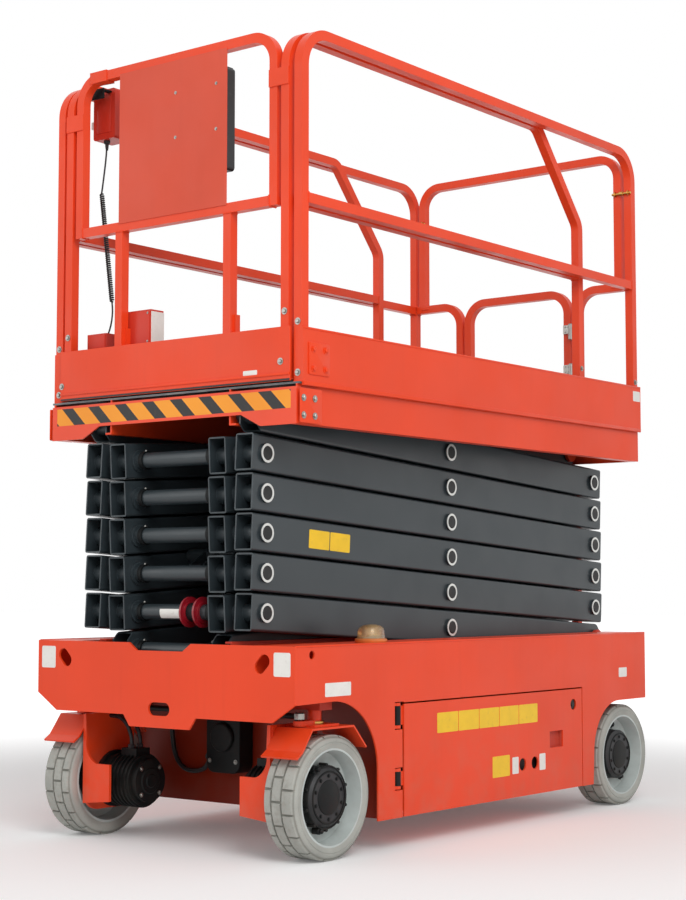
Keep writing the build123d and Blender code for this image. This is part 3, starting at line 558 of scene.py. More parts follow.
def placePiece(name, shape, body, look, angle, replaced):
    # edges that turn by more than the angle stay sharp
    for face in shape.faces:
        face.smooth = True
    for edge in shape.edges:
        edge.smooth = len(edge.link_faces) == 2 and edge.calc_face_angle(0) < math.radians(angle)
    mesh = meshOf(shape, name)
    slot, material = looks[look]
    mesh.materials.clear()
    mesh.materials.append(material)
    piece = addToScene(name, mesh)
    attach(piece, body)
    if replaced:
        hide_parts(*replaced)
    return piece


def makePiece(name, body, look, parts, bevel=0.0, segments=2, replaced=()):
    # each part is a maker and what it needs
    shape = bmesh.new()
    for maker, *values in parts:
        maker(shape, *values)
    bmesh.ops.remove_doubles(shape, verts=shape.verts, dist=1e-6)
    bmesh.ops.recalc_face_normals(shape, faces=shape.faces)
    if bevel:
        sharp = [e for e in shape.edges if len(e.link_faces) == 2 and e.calc_face_angle(0) > math.radians(30)]
        bmesh.ops.bevel(shape, geom=sharp, offset=bevel / 1000, segments=segments, affect="EDGES",
                        profile=0.5, clamp_overlap=True)
    return placePiece(name, shape, body, look, 35, replaced)


# repeated shapes, made by Geometry Nodes
def buildTree(name, recipe, sizes):
    # the sizes and the material become dials of the tree
    tree = bpy.data.node_groups.new(name, "GeometryNodeTree")
    tree.interface.new_socket("Geometry", in_out="INPUT", socket_type="NodeSocketGeometry")
    for label, start in sizes.items():
        kind = "Int" if isinstance(start, int) else "Float"
        tree.interface.new_socket(label, in_out="INPUT",
                                  socket_type="NodeSocket" + kind).default_value = start
    tree.interface.new_socket("Material", in_out="INPUT", socket_type="NodeSocketMaterial")
    tree.interface.new_socket("Geometry", in_out="OUTPUT", socket_type="NodeSocketGeometry")
    w = Wire(tree)
    given = {socket.name: Wire(tree, socket)
             for socket in tree.nodes.new("NodeGroupInput").outputs if socket.name}
    real = w.geometry("RealizeInstances", {0: recipe(w, given)})
    dressed = w.geometry("SetMaterial", {"Geometry": real, "Material": given["Material"]})
    tree.links.new(dressed.socket, tree.nodes.new("NodeGroupOutput").inputs[0])
    return tree


def runTree(tree, mesh, values, name, body, look, angle=35, replaced=()):
    holder = addToScene("maker", mesh)
    modifier = holder.modifiers.new("maker", "NODES")
    modifier.node_group = tree
    values = {**values, "Material": looks[look][1]}
    for item in tree.interface.items_tree:
        if item.in_out == "INPUT" and item.name in values:
            modifier[item.identifier] = values[item.name]
    bpy.context.view_layer.update()
    ready = holder.evaluated_get(bpy.context.evaluated_depsgraph_get())
    made = bpy.data.meshes.new_from_object(ready)
    holder.modifiers.remove(modifier)
    bpy.data.objects.remove(holder)
    shape = bmesh.new()
    shape.from_mesh(made)
    bpy.data.meshes.remove(made)
    for key in list(shape.verts.layers.float_vector.keys()):
        shape.verts.layers.float_vector.remove(shape.verts.layers.float_vector[key])
    return placePiece(name, shape, body, look, angle, replaced)


def copyOnPoints(w, given, shape):
    way = w.make("GeometryNodeInputNamedAttribute", {"data_type": "FLOAT_VECTOR"}, {"Name": "facing"})
    turn = w.make("FunctionNodeAlignRotationToVector", {"axis": "Z"}, {"Vector": way})
    return w.geometry("InstanceOnPoints", {"Points": given["Geometry"], "Instance": shape, "Rotation": turn})


def raised(w, shape, height):
    return w.geometry("Transform", {"Geometry": shape, "Translation": w.vector(0.0, 0.0, height)})


def disc(w, sides, radius, height, foot=0.0):
    solid = w.geometry("MeshCylinder", {"Vertices": sides, "Radius": radius, "Depth": height})
    return raised(w, solid, height * 0.5 + foot)


def crown(w, given, top, height, foot):
    cone = w.geometry("MeshCone", {"Vertices": given["Sides"], "Radius Top": top,
                                   "Radius Bottom": given["Radius"], "Depth": height})
    return raised(w, cone, foot)


def boltHead(w, given):
    # washer, prism and chamfered crown
    height = given["Height"]
    parts = [disc(w, 20, given["Washer"], height * 0.25),
             disc(w, given["Sides"], given["Radius"], height * 0.6, height * 0.2),
             crown(w, given, given["Radius"] * 0.72, height * 0.2, height * 0.8)]
    return copyOnPoints(w, given, w.geometry("JoinGeometry", {0: parts}))


def plainRing(w, given):
    # square section, standing on its point
    middle = (given["Outside"] + given["Inside"]) * 0.5
    circle = w.geometry("CurvePrimitiveCircle", {"Resolution": given["Sides"], "Radius": middle})
    band = w.geometry("CurvePrimitiveQuadrilateral", {"Width": given["Outside"] - given["Inside"],
                                                      "Height": given["Height"]})
    ring = w.geometry("CurveToMesh", {"Curve": circle, "Profile Curve": band})
    return copyOnPoints(w, given, raised(w, ring, given["Height"] * 0.5))


def roundCap(w, given):
    # barrel with a chamfered crown
    straight = given["Height"] - given["Chamfer"]
    parts = [disc(w, given["Sides"], given["Radius"], straight),
             crown(w, given, given["Radius"] - given["Chamfer"], given["Chamfer"], straight)]
    return copyOnPoints(w, given, w.geometry("JoinGeometry", {0: parts}))


def repeater(name, recipe, sizes, sides):
    # the sizes come in millimetres and in the same order, then the number of sides if it differs
    labels = list(sizes)
    tree = buildTree(name, recipe, {"Sides": sides, **{label: size / 1000 for label, size in sizes.items()}})

    def add(piece, places, body, look, *given):
        # places of (x, y, z, facing)
        mesh = bpy.data.meshes.new("places")
        mesh.from_pydata([mm(*place[:3]) for place in places], [], [])
        ways = mesh.attributes.new("facing", "FLOAT_VECTOR", "POINT")
        for i, place in enumerate(places):
            ways.data[i].vector = place[3]
        values = {label: size / 1000 for label, size in zip(labels, given)}
        values["Sides"] = given[len(labels)] if len(given) > len(labels) else sides
        return runTree(tree, mesh, values, piece, body, look)

    return add


addHeads = repeater("boltHead", boltHead, {"Radius": 8, "Height": 6, "Washer": 11}, 6)
addRings = repeater("ring", plainRing, {"Outside": 30, "Inside": 20, "Height": 4}, 40)
addCaps = repeater("cap", roundCap, {"Radius": 20, "Height": 4, "Chamfer": 2}, 28)


def facing(places, way):
    return [(*place, way) for place in places]


forward, back = Vector((1, 0, 0)), Vector((-1, 0, 0))
leftward, rightward = Vector((0, 1, 0)), Vector((0, -1, 0))
upward, downward = Vector((0, 0, 1)), Vector((0, 0, -1))
both = ((1, "Left", leftward), (-1, "Right", rightward))
print("makers ready")

# wheels
wheelFacts = {
    "along": 898, "height": 190.5, "face": 545, "tyreRadius": 190.5, "root": 184.5, "groove": 6, "blocks": 16,
    "blockGap": 5.5,
    # each tread row: its sides at the foot and at the top, from the outer face inwards, and its shift
    "rows": [(5, 48, 12, 47, 0.0), (54, 87, 55, 86, 0.5), (93, 122, 94, 115, 0.0)],
    # outline of the tyre under its blocks, as (radius, depth)
    "carcass": [(150, 4), (158, 1.5), (165, 0.5), (166, 2), (169, 2), (170, 0.5), (175, 1), (180, 3.5),
                (184.5, 9), (184.5, 118), (180, 123.5), (175, 126), (160, 126), (150, 123)],
    "hubDepth": 18, "hubBolts": 10, "hubBoltCircle": 66, "lugCircle": 99, "fittingCircle": 104,
    "webDepth": 56, "nuts": 5, "nutCircle": 112,
}


def rolledTread(w, given):
    # straight strips of blocks that are then rolled round the tyre, on top of the carcass given to it
    tyreRadius, sunk = wheelFacts["tyreRadius"] / 1000, 0.002
    pitch = w.math("DIVIDE", 2 * math.pi * tyreRadius, given["Count"])
    strips = []
    for *sides, shift in wheelFacts["rows"]:
        low, high, topLow, topHigh = [value / 1000 for value in sides]
        size = w.vector(given["Depth"] + sunk, pitch - given["Gap"], high - low)
        block = w.geometry("MeshCube", {"Size": size, "Vertices X": 2, "Vertices Y": 5, "Vertices Z": 2})
        x, y, z = w.geometry("InputPosition").axes()
        top = x > 0.0
        narrower = (topHigh - topLow) / (high - low)
        aside = (topHigh + topLow - high - low) / 2
        shaped = w.vector(x, y * (1 - top * 0.035), z * (1 - top * (1 - narrower)) + top * aside)
        block = w.geometry("SetPosition", {"Geometry": block, "Position": shaped})
        start = w.vector(0.0, pitch * shift, (low + high) / 2)
        line = w.geometry("MeshLine", {"Count": given["Count"], "Start Location": start,
                                       "Offset": w.vector(0.0, pitch, 0.0)})
        strips.append(w.geometry("InstanceOnPoints", {"Points": line, "Instance": block}))
    strip = w.geometry("RealizeInstances", {0: w.geometry("JoinGeometry", {0: strips})})
    x, y, z = w.geometry("InputPosition").axes()
    angle = y / tyreRadius
    radius = x + given["Radius"] + given["Depth"] * 0.5 - sunk / 2
    rolled = w.vector(w.math("COSINE", angle) * radius, w.math("SINE", angle) * radius, z)
    strip = w.geometry("SetPosition", {"Geometry": strip, "Position": rolled})
    upright = w.geometry("Transform", {"Geometry": strip, "Rotation": (math.pi / 2, 0, 0)})
    return w.geometry("JoinGeometry", {0: [given["Geometry"], upright]})


def addTyre(name, x, side, facts, tree):
    # made with its outer face at 0 and facing +Y, then moved and, on the right, mirrored
    shape = bmesh.new()
    section = [(radius, -depth) for radius, depth in facts["carcass"]]
    addTurned(shape, section, (0, 0, 0), leftward, 96, True)
    bmesh.ops.recalc_face_normals(shape, faces=shape.faces)
    piece = runTree(tree, meshOf(shape, name), {}, "treaded_tyre_" + name, "wheel_" + name, "tyre_grey", 40,
                    ("tyre_" + name,))
    for vert in piece.data.vertices:
        vert.co.y = side * (vert.co.y + facts["face"] / 1000)
        vert.co.x += x / 1000
        vert.co.z += facts["height"] / 1000
    if side < 0:
        piece.data.flip_normals()


def addHub(name, x, side, facts):
    # black hub cover with its bolts; the steered pair also carries an outer ring with lugs and two fittings
    body, outward, z = "wheel_" + name, leftward * side, facts["height"]
    face = side * (facts["face"] - facts["hubDepth"])
    around = [(math.cos(angle), math.sin(angle))
              for angle in [2 * math.pi * (i + 0.5) / facts["hubBolts"] for i in range(facts["hubBolts"])]]

    def spots(directions, circle, y):
        return [(x + circle * c, y, z + circle * s) for c, s in directions]

    addHeads("hubBolts_" + name, facing(spots(around, facts["hubBoltCircle"], face), outward), body,
             "motor_black", 4.5, 4, 6.5)
    middle = (x, face, z)
    cover = [(addTurned, [(0, 3), (50, 3), (53, 1.5), (54, 0), (54, -2), (0, -2)], middle, outward, 48),
             (addTurned, [(76, -1), (76, 3), (80, 3), (82, 0), (82, -1)], middle, outward, 48, True)]
    steered = x > 0
    if steered:
        cover.append((addTurned, [(92.2, -10), (92.2, -6), (96, -6), (98, -9), (98, -30), (92.2, -30)],
                      middle, outward, 48, True))
        cover += [(addTurned, [(0, -6), (4, -6), (5.5, -8), (5.5, -36), (0, -36)], spot, outward, 12)
                  for spot in spots(around, facts["lugCircle"], face)]
        for direction, tall in (((0.5, 0.86), 8), ((0.3, -0.95), 2)):
            fitting = [(0, tall), (5, tall), (8, tall - 3), (8, -8), (11, -10), (11, -34), (0, -34)]
            cover.append((addTurned, fitting, *spots([direction], facts["fittingCircle"], face), outward, 16))
    makePiece("hubCover_" + name, body, "motor_black", cover)
    if not steered:
        turns = [math.pi * (0.1 + 2 * i / facts["nuts"]) for i in range(facts["nuts"])]
        nuts = spots([(math.cos(angle), math.sin(angle)) for angle in turns], facts["nutCircle"],
                     side * (facts["face"] - facts["webDepth"]))
        addHeads("wheelNuts_" + name, facing(nuts, outward), body, "motor_black", 10, 14, 14)


tread = buildTree("tread", rolledTread, {
    "Radius": wheelFacts["root"] / 1000, "Depth": wheelFacts["groove"] / 1000, "Count": wheelFacts["blocks"],
    "Gap": wheelFacts["blockGap"] / 1000})
for end, endName in ((1, "front"), (-1, "rear")):
    for side, label, _ in both:
        name, along = f"{endName}_{label.lower()}", end * wheelFacts["along"]
        addTyre(name, along, side, wheelFacts, tread)
        addHub(name, along, side, wheelFacts)
print("wheels ready")

# scissor stack
stackFacts = {
    "front": 1013, "rear": -993, "low": 628.6, "rise": 123.6, "stages": 6, "outerFace": 374, "innerFace": 183,
    "topTubeAlong": 130,  # the highest rear tube stands this far along its arms
    "tubeBore": 25.2, "pinRing": (30, 22.5, 2.5), "pinCap": (21.5, 4, 1.5), "flange": (36, 9),
    "collar": (30.5, 16),
    # on the lowest tube that shows at the front: (name, finish, places across, outside radius, width)
    "lowTube": [("crimsonFlanges", "crimson", (48, 104), 49, 7), ("ringHubs", "crimson", (55, 111), 34, 5),
                ("ringSpacer", "motor_black", (60,), 30, 44)],
    "sleeve": {"outside": 26.2, "inside": 25.2, "from": -58, "width": 84, "angles": (-22, 8, 10)},
}


def levelOf(k):
    return stackFacts["low"] + k * stackFacts["rise"]


def addArmFittings(facts):
    front, rear, stages, bore = facts["front"], facts["rear"], facts["stages"], facts["tubeBore"]
    for k in range(1, stages + 1):
        low, high, outer, inner = levelOf(k - 1), levelOf(k), f"outer_{k}", f"inner_{k}"
        centre = ((front + rear) / 2, (low + high) / 2)
        # the lowest and highest pins are hidden in their lugs
        ends = [(rear, low)] * (k > 1) + [centre] + [(front, high)] * (k < stages)
        faces = [(x, side * facts["outerFace"], z, way) for side, _, way in both for x, z in ends]
        addRings(f"pinRings_{k}", faces, outer, "brightZinc", *facts["pinRing"])
        addCaps(f"pinCaps_{k}", faces, outer, "pinBlack", *facts["pinCap"])
        along = facts["topTubeAlong"] if k == stages else 0
        tubes = [(rear + along, high - along * (high - low) / (front - rear)), centre, (front, low)]
        inward = [(x, side * (facts["innerFace"] - 1), z, -way) for side, _, way in both for x, z in tubes]
        outside, width = facts["flange"]
        addRings(f"tubeFlanges_{k}", inward, inner, "arm_grey", outside, bore, width)
        collars = [(x, y + way.y * 24, z, way) for x, y, z, way in inward]
        outside, width = facts["collar"]
        addRings(f"tubeCollars_{k}", collars, inner, "motor_black", outside, bore, width)
        pinch = [(x, y + way.y * 8, z + 30, upward) for x, y, z, way in collars]
        addHeads(f"collarBolts_{k}", pinch, inner, "zinc", 4, 5, 6)


def addLowTubeFittings(facts):
    x, z = facts["front"], levelOf(1)
    for name, look, places, outside, width in facts["lowTube"]:
        addRings(name, [(x, y, z, leftward) for y in places], "inner_2", look, outside, 25.4, width)
    # blank label bent round the tube
    label = facts["sleeve"]
    start, step, count = label["angles"]
    turns = [math.radians(start + step * i) for i in range(count)]
    bend = [(label["outside"] * math.cos(a), label["outside"] * math.sin(a)) for a in turns]
    bend += [(u * label["inside"] / label["outside"], v * label["inside"] / label["outside"])
             for u, v in reversed(bend)]
    makePiece("blankSleeve", "inner_2", "whiteLabel",
              [(addSlab, bend, (x, label["from"], z), leftward, forward, label["width"])])


addArmFittings(stackFacts)
addLowTubeFittings(stackFacts)
print("stack fittings ready")

# lift cylinders
cylinderFacts = {"foot": (129.675, 0, 806.626), "head": (828.35, 0, 887.177), "aside": 70, "pipeRise": 64,
                 "unions": (60, 505), "clamps": (190, 350)}


def addCylinderFittings(facts):
    # rigid oil pipe, its unions and clamps along each barrel, and the rod's wiper
    foot, head = Vector(facts["foot"]), Vector(facts["head"])
    along = (head - foot).normalized()
    up = Vector((-along.z, 0, along.x))
    first, last = facts["unions"]
    route = [(first, 44), (first, 60), (first + 20, facts["pipeRise"]), (last - 25, facts["pipeRise"]),
             (last, 60), (last, 46)]
    for side, label, _ in both:
        base = foot + Vector((0, side * facts["aside"], 0))
        line = smoothPath([base + along * far + up * rise for far, rise in route], 5)
        makePiece(f"oilPipe{label}", "lift_barrels", "cylinder_black", [(addTube, line, 6, 12)])
        unions = [(addTurned, [(0, 62), (8, 62), (10, 58), (10, 40), (0, 40)], base + along * far, up, 6)
                  for far in facts["unions"]]
        band = [(45.2, -9), (47.5, -9), (47.5, 9), (45.2, 9)]
        clamps = [(addTurned, band, base + along * far, along, 40, True) for far in facts["clamps"]]
        makePiece(f"pipeClamps{label}", "lift_barrels", "zinc", unions + clamps, 0.8, 1)
        wiper = [(25.3, 560), (33, 560), (36, 563), (36, 566), (31, 569), (25.3, 569)]
        makePiece(f"rodWiper{label}", "lift_barrels", "moulded", [(addTurned, wiper, base, along, 40, True)])


addCylinderFittings(cylinderFacts)
print("cylinders ready")


# labels, all of them blank
def sideLabel(x, z, width, height, y=560, corner=4):
    return (x, y, z), leftward, back, width, height, corner


def frontLabel(x, y, z, width, height, corner):
    return (x, y, z), forward, leftward, width, height, corner


def armLabel(along, k, width=104, height=60):
    # on the outer face of an arm on the left, turned with it
    slope = stackFacts["rise"] / (stackFacts["front"] - stackFacts["rear"])
    place = (stackFacts["front"] - along, 366, levelOf(k) - along * slope)
    return place, leftward, Vector((-1, 0, -slope)).normalized(), width, height, 4


labelFacts = {
    "chassisWhiteLabels": ("chassis", "whiteLabel", [
        frontLabel(1100, -509, 600, 66, 72, 6), frontLabel(1100, 509, 600, 66, 72, 6),
        sideLabel(-872, 506, 62, 36), sideLabel(894, 520, 128, 42)]),
    "doorLabelsLeft": ("door_left", "yellowLabel",
                       [sideLabel(307 - 124.8 * i, 386, 121.5, 66) for i in range(5)]
                       + [sideLabel(-15, 215, 108, 72)]),
    "doorNotesLeft": ("door_left", "whiteLabel", [sideLabel(x, 211, 40, 58) for x in (-106, -284)]),
    "boardNote": ("platform", "whiteLabel", [sideLabel(-1027, 1584, 56, 40, 550)]),
    "toeNote": ("extension", "whiteLabel", [frontLabel(1064, 346, 1494, 58, 15, 3)]),
    "armLabelsLeft": ("outer_3", "yellowLabel", [armLabel(267, 3), armLabel(375, 3)]),
}
for name, (body, look, places) in labelFacts.items():
    makePiece(name, body, look, [(addSlab, roundedRectangle(width, height, corner), middle, way, across, 0.6)
                                 for middle, way, across, width, height, corner in places], 0.15, 1)
print("labels ready")

# bolts on the platform
# each row: body, finish, head sizes, and places of (x, y, z, facing)
boltFacts = {
    "toeBoardBolts": ("extension", "zinc", (7, 7, 11),
                      [(1064, -501, 1510, forward), (1064, 469, 1521, forward)]
                      + [(x, side * y, z, forward) for x, y, z in ((1058, 480, 1676), (1042, 241, 1664))
                         for side in (1, -1)]),
    "postBolts": ("platform", "zinc", (7, 7, 11), [(1052, side * 528, z, forward) for side in (1, -1)
                                                   for z in (1484, 1641)]
                  + [(-1030, side * 544, 1641, way) for side, _, way in both]),
    "bracePostBolts": ("extension", "zinc", (6, 6, 10),
                       [(-697, side * 496, 1668, way) for side, _, way in both]),
    "boardPlateBolts": ("platform", "platform_red", (8, 7, 12), [
        (x, side * 554, z, way) for side, _, way in both for x in (948, 1008) for z in (1499, 1559)]),
    "cornerBolts": ("platform", "zinc", (7, 7, 11), [
        (x, side * 553, z, way) for side, _, way in both for x in (1000, 1054) for z in (1352, 1405)]),
    "panelRivets": ("extension", "zinc", (3.6, 3, 5.5, 16), [(1061, y, z, forward) for y in (17, 195)
                                                             for z in (2290, 2438)]),
}
for name, (body, look, sizes, places) in boltFacts.items():
    addHeads(name, places, body, look, *sizes)

# plates, strips and band on the platform
boardFacts = {
    "face": 550, "lip": ((-1058, 1618), (1050, 1624)), "footStrip": ((-1058, 1445), (1050, 1457)),
    # (width, height, corner, middle x, middle z, thickness) on each side
    "plates": [(100, 100, 6, 978, 1529, 4), (104, 106, 4, 1018, 1382, 3)],
    "band": {"x": (1023, 1061), "y": (-385, -305), "z": (2537, 2575), "thick": 3},
}


def addBoardPlates(facts):
    face = facts["face"]
    for side, label, way in both:
        across = back if side > 0 else forward
        plates = [(addSlab, roundedRectangle(width, height, corner), (x, side * face, z), way, across, thick)
                  for width, height, corner, x, z, thick in facts["plates"]]
        makePiece(f"boardPlate{label}", "platform", "platform_red", plates, 1)
        strips = []
        for ((x0, z0), (x1, z1)), inside in ((facts["lip"], face - 6), (facts["footStrip"], face - 1)):
            near, far = sorted((side * inside, side * (face + 2)))
            strips.append((addBox, (x0, near, z0), (x1, far, z1)))
        makePiece(f"boardLip{label}", "platform", "platform_red", strips, 1)
    (x0, x1), (y0, y1), (z0, z1), thick = facts["band"].values()
    makePiece("toeCrease", "extension", "platform_red", [
        (addBox, (1063, -506, 1478), (1068, 506, 1486)),
        (addBox, (x0, y0, z0), (x0 + thick, y1, z1)), (addBox, (x1 - thick, y0, z0), (x1, y1, z1)),
        (addBox, (x0, y0, z1 - thick), (x1, y1, z1)), (addBox, (x0, y0, z0), (x1, y1, z0 + thick))], 1.5)
    makePiece("toeSeal", "extension", "moulded", [(addBox, (1062, -506, 1461), (1065.5, 506, 1467))], 1, 1)


addBoardPlates(boardFacts)

# welds
def weldBead(w, given):
    # row of overlapping scales that follows a line
    line = w.geometry("MeshToCurve", {0: given["Geometry"]})
    even = w.geometry("ResampleCurve", {"Curve": line, "Length": given["Spacing"]}, {"mode": "LENGTH"})
    scale = w.geometry("MeshUVSphere", {"Segments": 8, "Rings": 5, "Radius": given["Radius"]})
    turn = w.make("FunctionNodeAlignRotationToVector", {"axis": "X"}, {"Vector": w.geometry("InputTangent")})
    return w.geometry("InstanceOnPoints", {"Points": even, "Instance": scale, "Rotation": turn,
                                           "Scale": (0.9, 1, 1)})


bead = buildTree("weldBead", weldBead, {"Radius": 0.0035, "Spacing": 0.0048})


def addWelds(name, lines, body, look):
    verts, edges = [], []
    for line in lines:
        start = len(verts)
        verts += [mm(*place) for place in line]
        edges += [(start + i, start + i + 1) for i in range(len(line) - 1)]
    mesh = bpy.data.meshes.new("lines")
    mesh.from_pydata(verts, edges, [])
    runTree(bead, mesh, {}, name, body, look, 60)


def squareRound(x, y, z, half, axis):
    # line round a square tube that meets another, lying across the given axis
    first, second = {"x": (leftward, upward), "y": (forward, upward), "z": (forward, leftward)}[axis]
    return [Vector((x, y, z)) + first * a * half + second * b * half
            for a, b in ((-1, -1), (1, -1), (1, 1), (-1, 1), (-1, -1))]


tubeHalf = 16
weldFacts = {
    "extension": [(1042, 241, 2012, "z"), (1042, 416, 2028, "y"), (1026, 480, 2028, "x"),
                  (-681, 480, 2028, "x"), (-697, 480, 1467, "z"), (1042, 480, 1467, "z")],
    "platform": [(1020, 528, 2028, "x"), (-1014, 528, 2028, "x"), (-1030, 464, 2028, "z"),
                 (1036, 528, 1456, "z"), (-1030, 512, 2028, "y")],
}
for body, joints in weldFacts.items():
    lines = [squareRound(x, side * y, z, tubeHalf, axis) for side in (1, -1) for x, y, z, axis in joints]
    addWelds(body + "Welds", lines, body, "platform_red")
print("platform fittings ready")

# deck plates
# each plate: body, its lugs' area as (low x, low y), (high x, high y), and its top
deckFacts = {"deckLugs": ("extension", (-725, -440), (1010, 440), 1466),
             "floorLugs": ("platform", (-1010, -430), (-760, 430), 1455)}


def floorLugs(w, given):
    # raised lugs in a grid, every other one turned the other way
    countX, countY = [w.math("FLOOR", given[size] / given["Pitch"]) for size in ("Size X", "Size Y")]
    grid = w.geometry("MeshGrid", {"Size X": given["Size X"], "Size Y": given["Size Y"], "Vertices X": countX,
                                   "Vertices Y": countY})
    lug = w.geometry("MeshCone", {"Vertices": 8, "Radius Top": 0.45, "Radius Bottom": 1.0, "Depth": 1.0})
    size = w.vector(given["Length"] * 0.5, given["Width"] * 0.5, given["Height"])
    lug = w.geometry("Transform", {"Geometry": lug, "Scale": size})
    index = w.geometry("InputIndex")
    odd = w.math("MODULO", w.math("FLOOR", index / countY) + index, 2.0)
    turn = w.vector(0.0, 0.0, (odd - 0.5) * (math.pi / 2))
    lugs = w.geometry("InstanceOnPoints", {"Points": grid, "Instance": lug, "Rotation": turn})
    return w.geometry("JoinGeometry", {0: [given["Geometry"], lugs]})


lug = buildTree("floorLugs", floorLugs, {"Length": 0.02, "Width": 0.006, "Height": 0.0015, "Pitch": 0.03,
                                         "Size X": 1.7, "Size Y": 0.9})
for name, (body, low, high, top) in deckFacts.items():
    sizes = {"Size X": (high[0] - low[0]) / 1000, "Size Y": (high[1] - low[1]) / 1000}
    piece = runTree(lug, bpy.data.meshes.new("bare"), sizes, name, body, "floor_plate", 25)
    middle = mm((low[0] + high[0]) / 2, (low[1] + high[1]) / 2, top)
    for vert in piece.data.vertices:
        vert.co += middle
print("deck ready")

# control box
controlFacts = {"x": (885, 965), "y": (-464, -360), "z": (2371, 2545), "togglesZ": (2440, 2474),
                "leadTop": (943, -420, 2371), "leadFoot": (947, -474, 1466)}


def addControlBox(facts):
    (x0, x1), (y0, y1), (z0, z1) = facts["x"], facts["y"], facts["z"]
    middleY, face = (y0 + y1) / 2, x0 - 3

    def add(name, look, parts, bevel=0.0, segments=2):
        makePiece(name, "extension", look, parts, bevel, segments)

    add("controlFace", "moulded", [(addBox, (face, y0 + 10, z0 + 14), (x0 + 1, y1 - 10, z1 - 12))], 1.5)
    button = (face, middleY - 24, z1 - 48)
    add("buttonCollar", "yellowLabel",
        [(addTurned, [(0, 4), (17, 4), (19, 2), (19, 0), (0, 0)], button, back, 28)])
    head = [(0, 22), (10, 22), (14, 20), (15, 16), (13, 12), (8, 10), (8, 3), (0, 3)]
    add("stopButton", "stopRed", [(addTurned, head, button, back, 28)])
    toggles = []
    for z in facts["togglesZ"]:
        toggles += [(addTurned, [(0, 3), (7, 3), (8, 0), (0, 0)], (face, middleY + 26, z), back, 20),
                    (addTube, [(face - 2, middleY + 26, z), (face - 16, middleY + 26, z + 7)], 2.6)]
    add("toggleSwitches", "zinc", toggles)
    bellows = [(22 - 1.9 * i + (1.6 if i % 2 else 0), 3 + 2.2 * i) for i in range(7)]
    knob = [(0, 44), (6, 43), (10, 38), (11, 30), (8, 22), (0, 22)]
    lever = (face, middleY, z0 + 48)
    add("driveLever", "moulded",
        [(addTurned, [(24, 0), *bellows, (6, 18), (6, 24), (0, 24)], lever, back, 28),
                                  (addTurned, knob, lever, back, 24)])
    addHeads("controlScrews", [(x0, y, z, back) for y in (y0 + 6, y1 - 6) for z in (z0 + 7, z1 - 6)],
             "extension", "zinc", 2.6, 2.4, 3.4, 12)
    add("controlBackPlate", "control_red", [(addBox, (x1 - 2, y0 + 18, z0 + 22), (x1 + 3, y1 - 18, z1 - 22))],
        1.5)
    hooks = [(addBox, (x1 - 4, y - 10, z1 - 16), (x1 + 40, y + 10, z1 - 10)) for y in (y0 + 26, y1 - 26)]
    add("controlHooks", "motor_black",
        hooks + [(addBox, (x1 + 36, y0 + 14, z1 - 44), (x1 + 42, y1 - 14, z1 - 8))], 1)
    # strain reliefs at both ends of the lead
    relief = [(3.2, 34), (4.2, 34), (6, 22), (6.5, 12), (10, 11), (11, 8), (11, 0), (3.2, 0)]
    add("leadRelief", "cord_black", [(addTurned, relief, facts["leadTop"], downward, 24, True)])
    relief = [(3.2, 30), (4.2, 30), (6, 20), (6.5, 11), (12, 10), (13, 7), (13, 0), (3.2, 0)]
    add("deckGrommet", "cord_black", [(addTurned, relief, facts["leadFoot"], upward, 24, True)])
    add("whiteConnector", "whiteLabel", [(addBox, (912, y0 - 40, 2424), (938, y0 - 16, 2450))], 2, 3)
    cable = [(925, y0 - 28, 2425), (925, y0 - 28, 2404), (925, y0 - 18, 2390), (925, y0 - 4, 2386),
             (925, y0 + 6, 2386)]
    socket = [(0, 18), (8, 18), (9, 6), (12, 4), (12, 0), (0, 0)]
    add("connectorPlug", "moulded", [(addTurned, socket, (925, y0, 2437), rightward, 20),
                                     (addTube, smoothPath(cable, 5), 3.5, 10)])


# junction box, pedal box and document box
smallBoxFacts = {"lidScrewsY": (-244, -139), "lidScrewsZ": (1640, 1734), "glandsY": (-225, -160),
                 "documentRibsZ": (2205, 2260, 2315, 2370)}


def addSmallBoxes(facts):
    makePiece("boxLids", "extension", "control_red", [
        (addBox, (1019, -252, 1604), (1023, -131, 1742)), (addBox, (1019, -421, 1634), (1023, -339, 1681))],
        1.2)
    addHeads("lidScrews", [(1023, y, z, forward) for y in facts["lidScrewsY"] for z in facts["lidScrewsZ"]],
             "extension", "zinc", 3, 2.5, 4, 12)
    makePiece("boxSideLabel", "extension", "whiteLabel", [(addBox, (958, -128, 1606), (1018, -125.5, 1740))],
              0.6, 1)
    glands = []
    for y in facts["glandsY"]:
        nut = [(0, 22), (6, 22), (7, 20), (7, 10), (10, 9), (10, 0), (0, 0)]
        wire = [(985, y, 1580), (985, y, 1540), (986, y - 6, 1500), (986, y - 8, 1467)]
        glands += [(addTurned, nut, (985, y, 1600), downward, 12), (addTube, smoothPath(wire, 4), 4)]
    makePiece("boxGlands", "extension", "moulded", glands)
    makePiece("documentLid", "extension", "box_black", [
        (addSlab, roundedRectangle(150, 66, 14), (1000, 143, 2450), back, rightward, 3),
        (addBox, (1001, 72, 2488), (1056, 214, 2497.5))], 2, 3)
    makePiece("documentLatch", "extension", "moulded", [(addBox, (994, 122, 2408), (1000, 164, 2440))], 2)
    makePiece("documentRibs", "extension", "box_black", [(addBox, (997.5, 84, z), (1001, 202, z + 8))
                                                         for z in facts["documentRibsZ"]], 1.2)


addControlBox(controlFacts)
addSmallBoxes(smallBoxFacts)
print("boxes ready")

# gate
gateFacts = {"pin": (-1004, 266), "hinges": (1714, 1877), "latchZ": 1703, "clipZ": 2402}


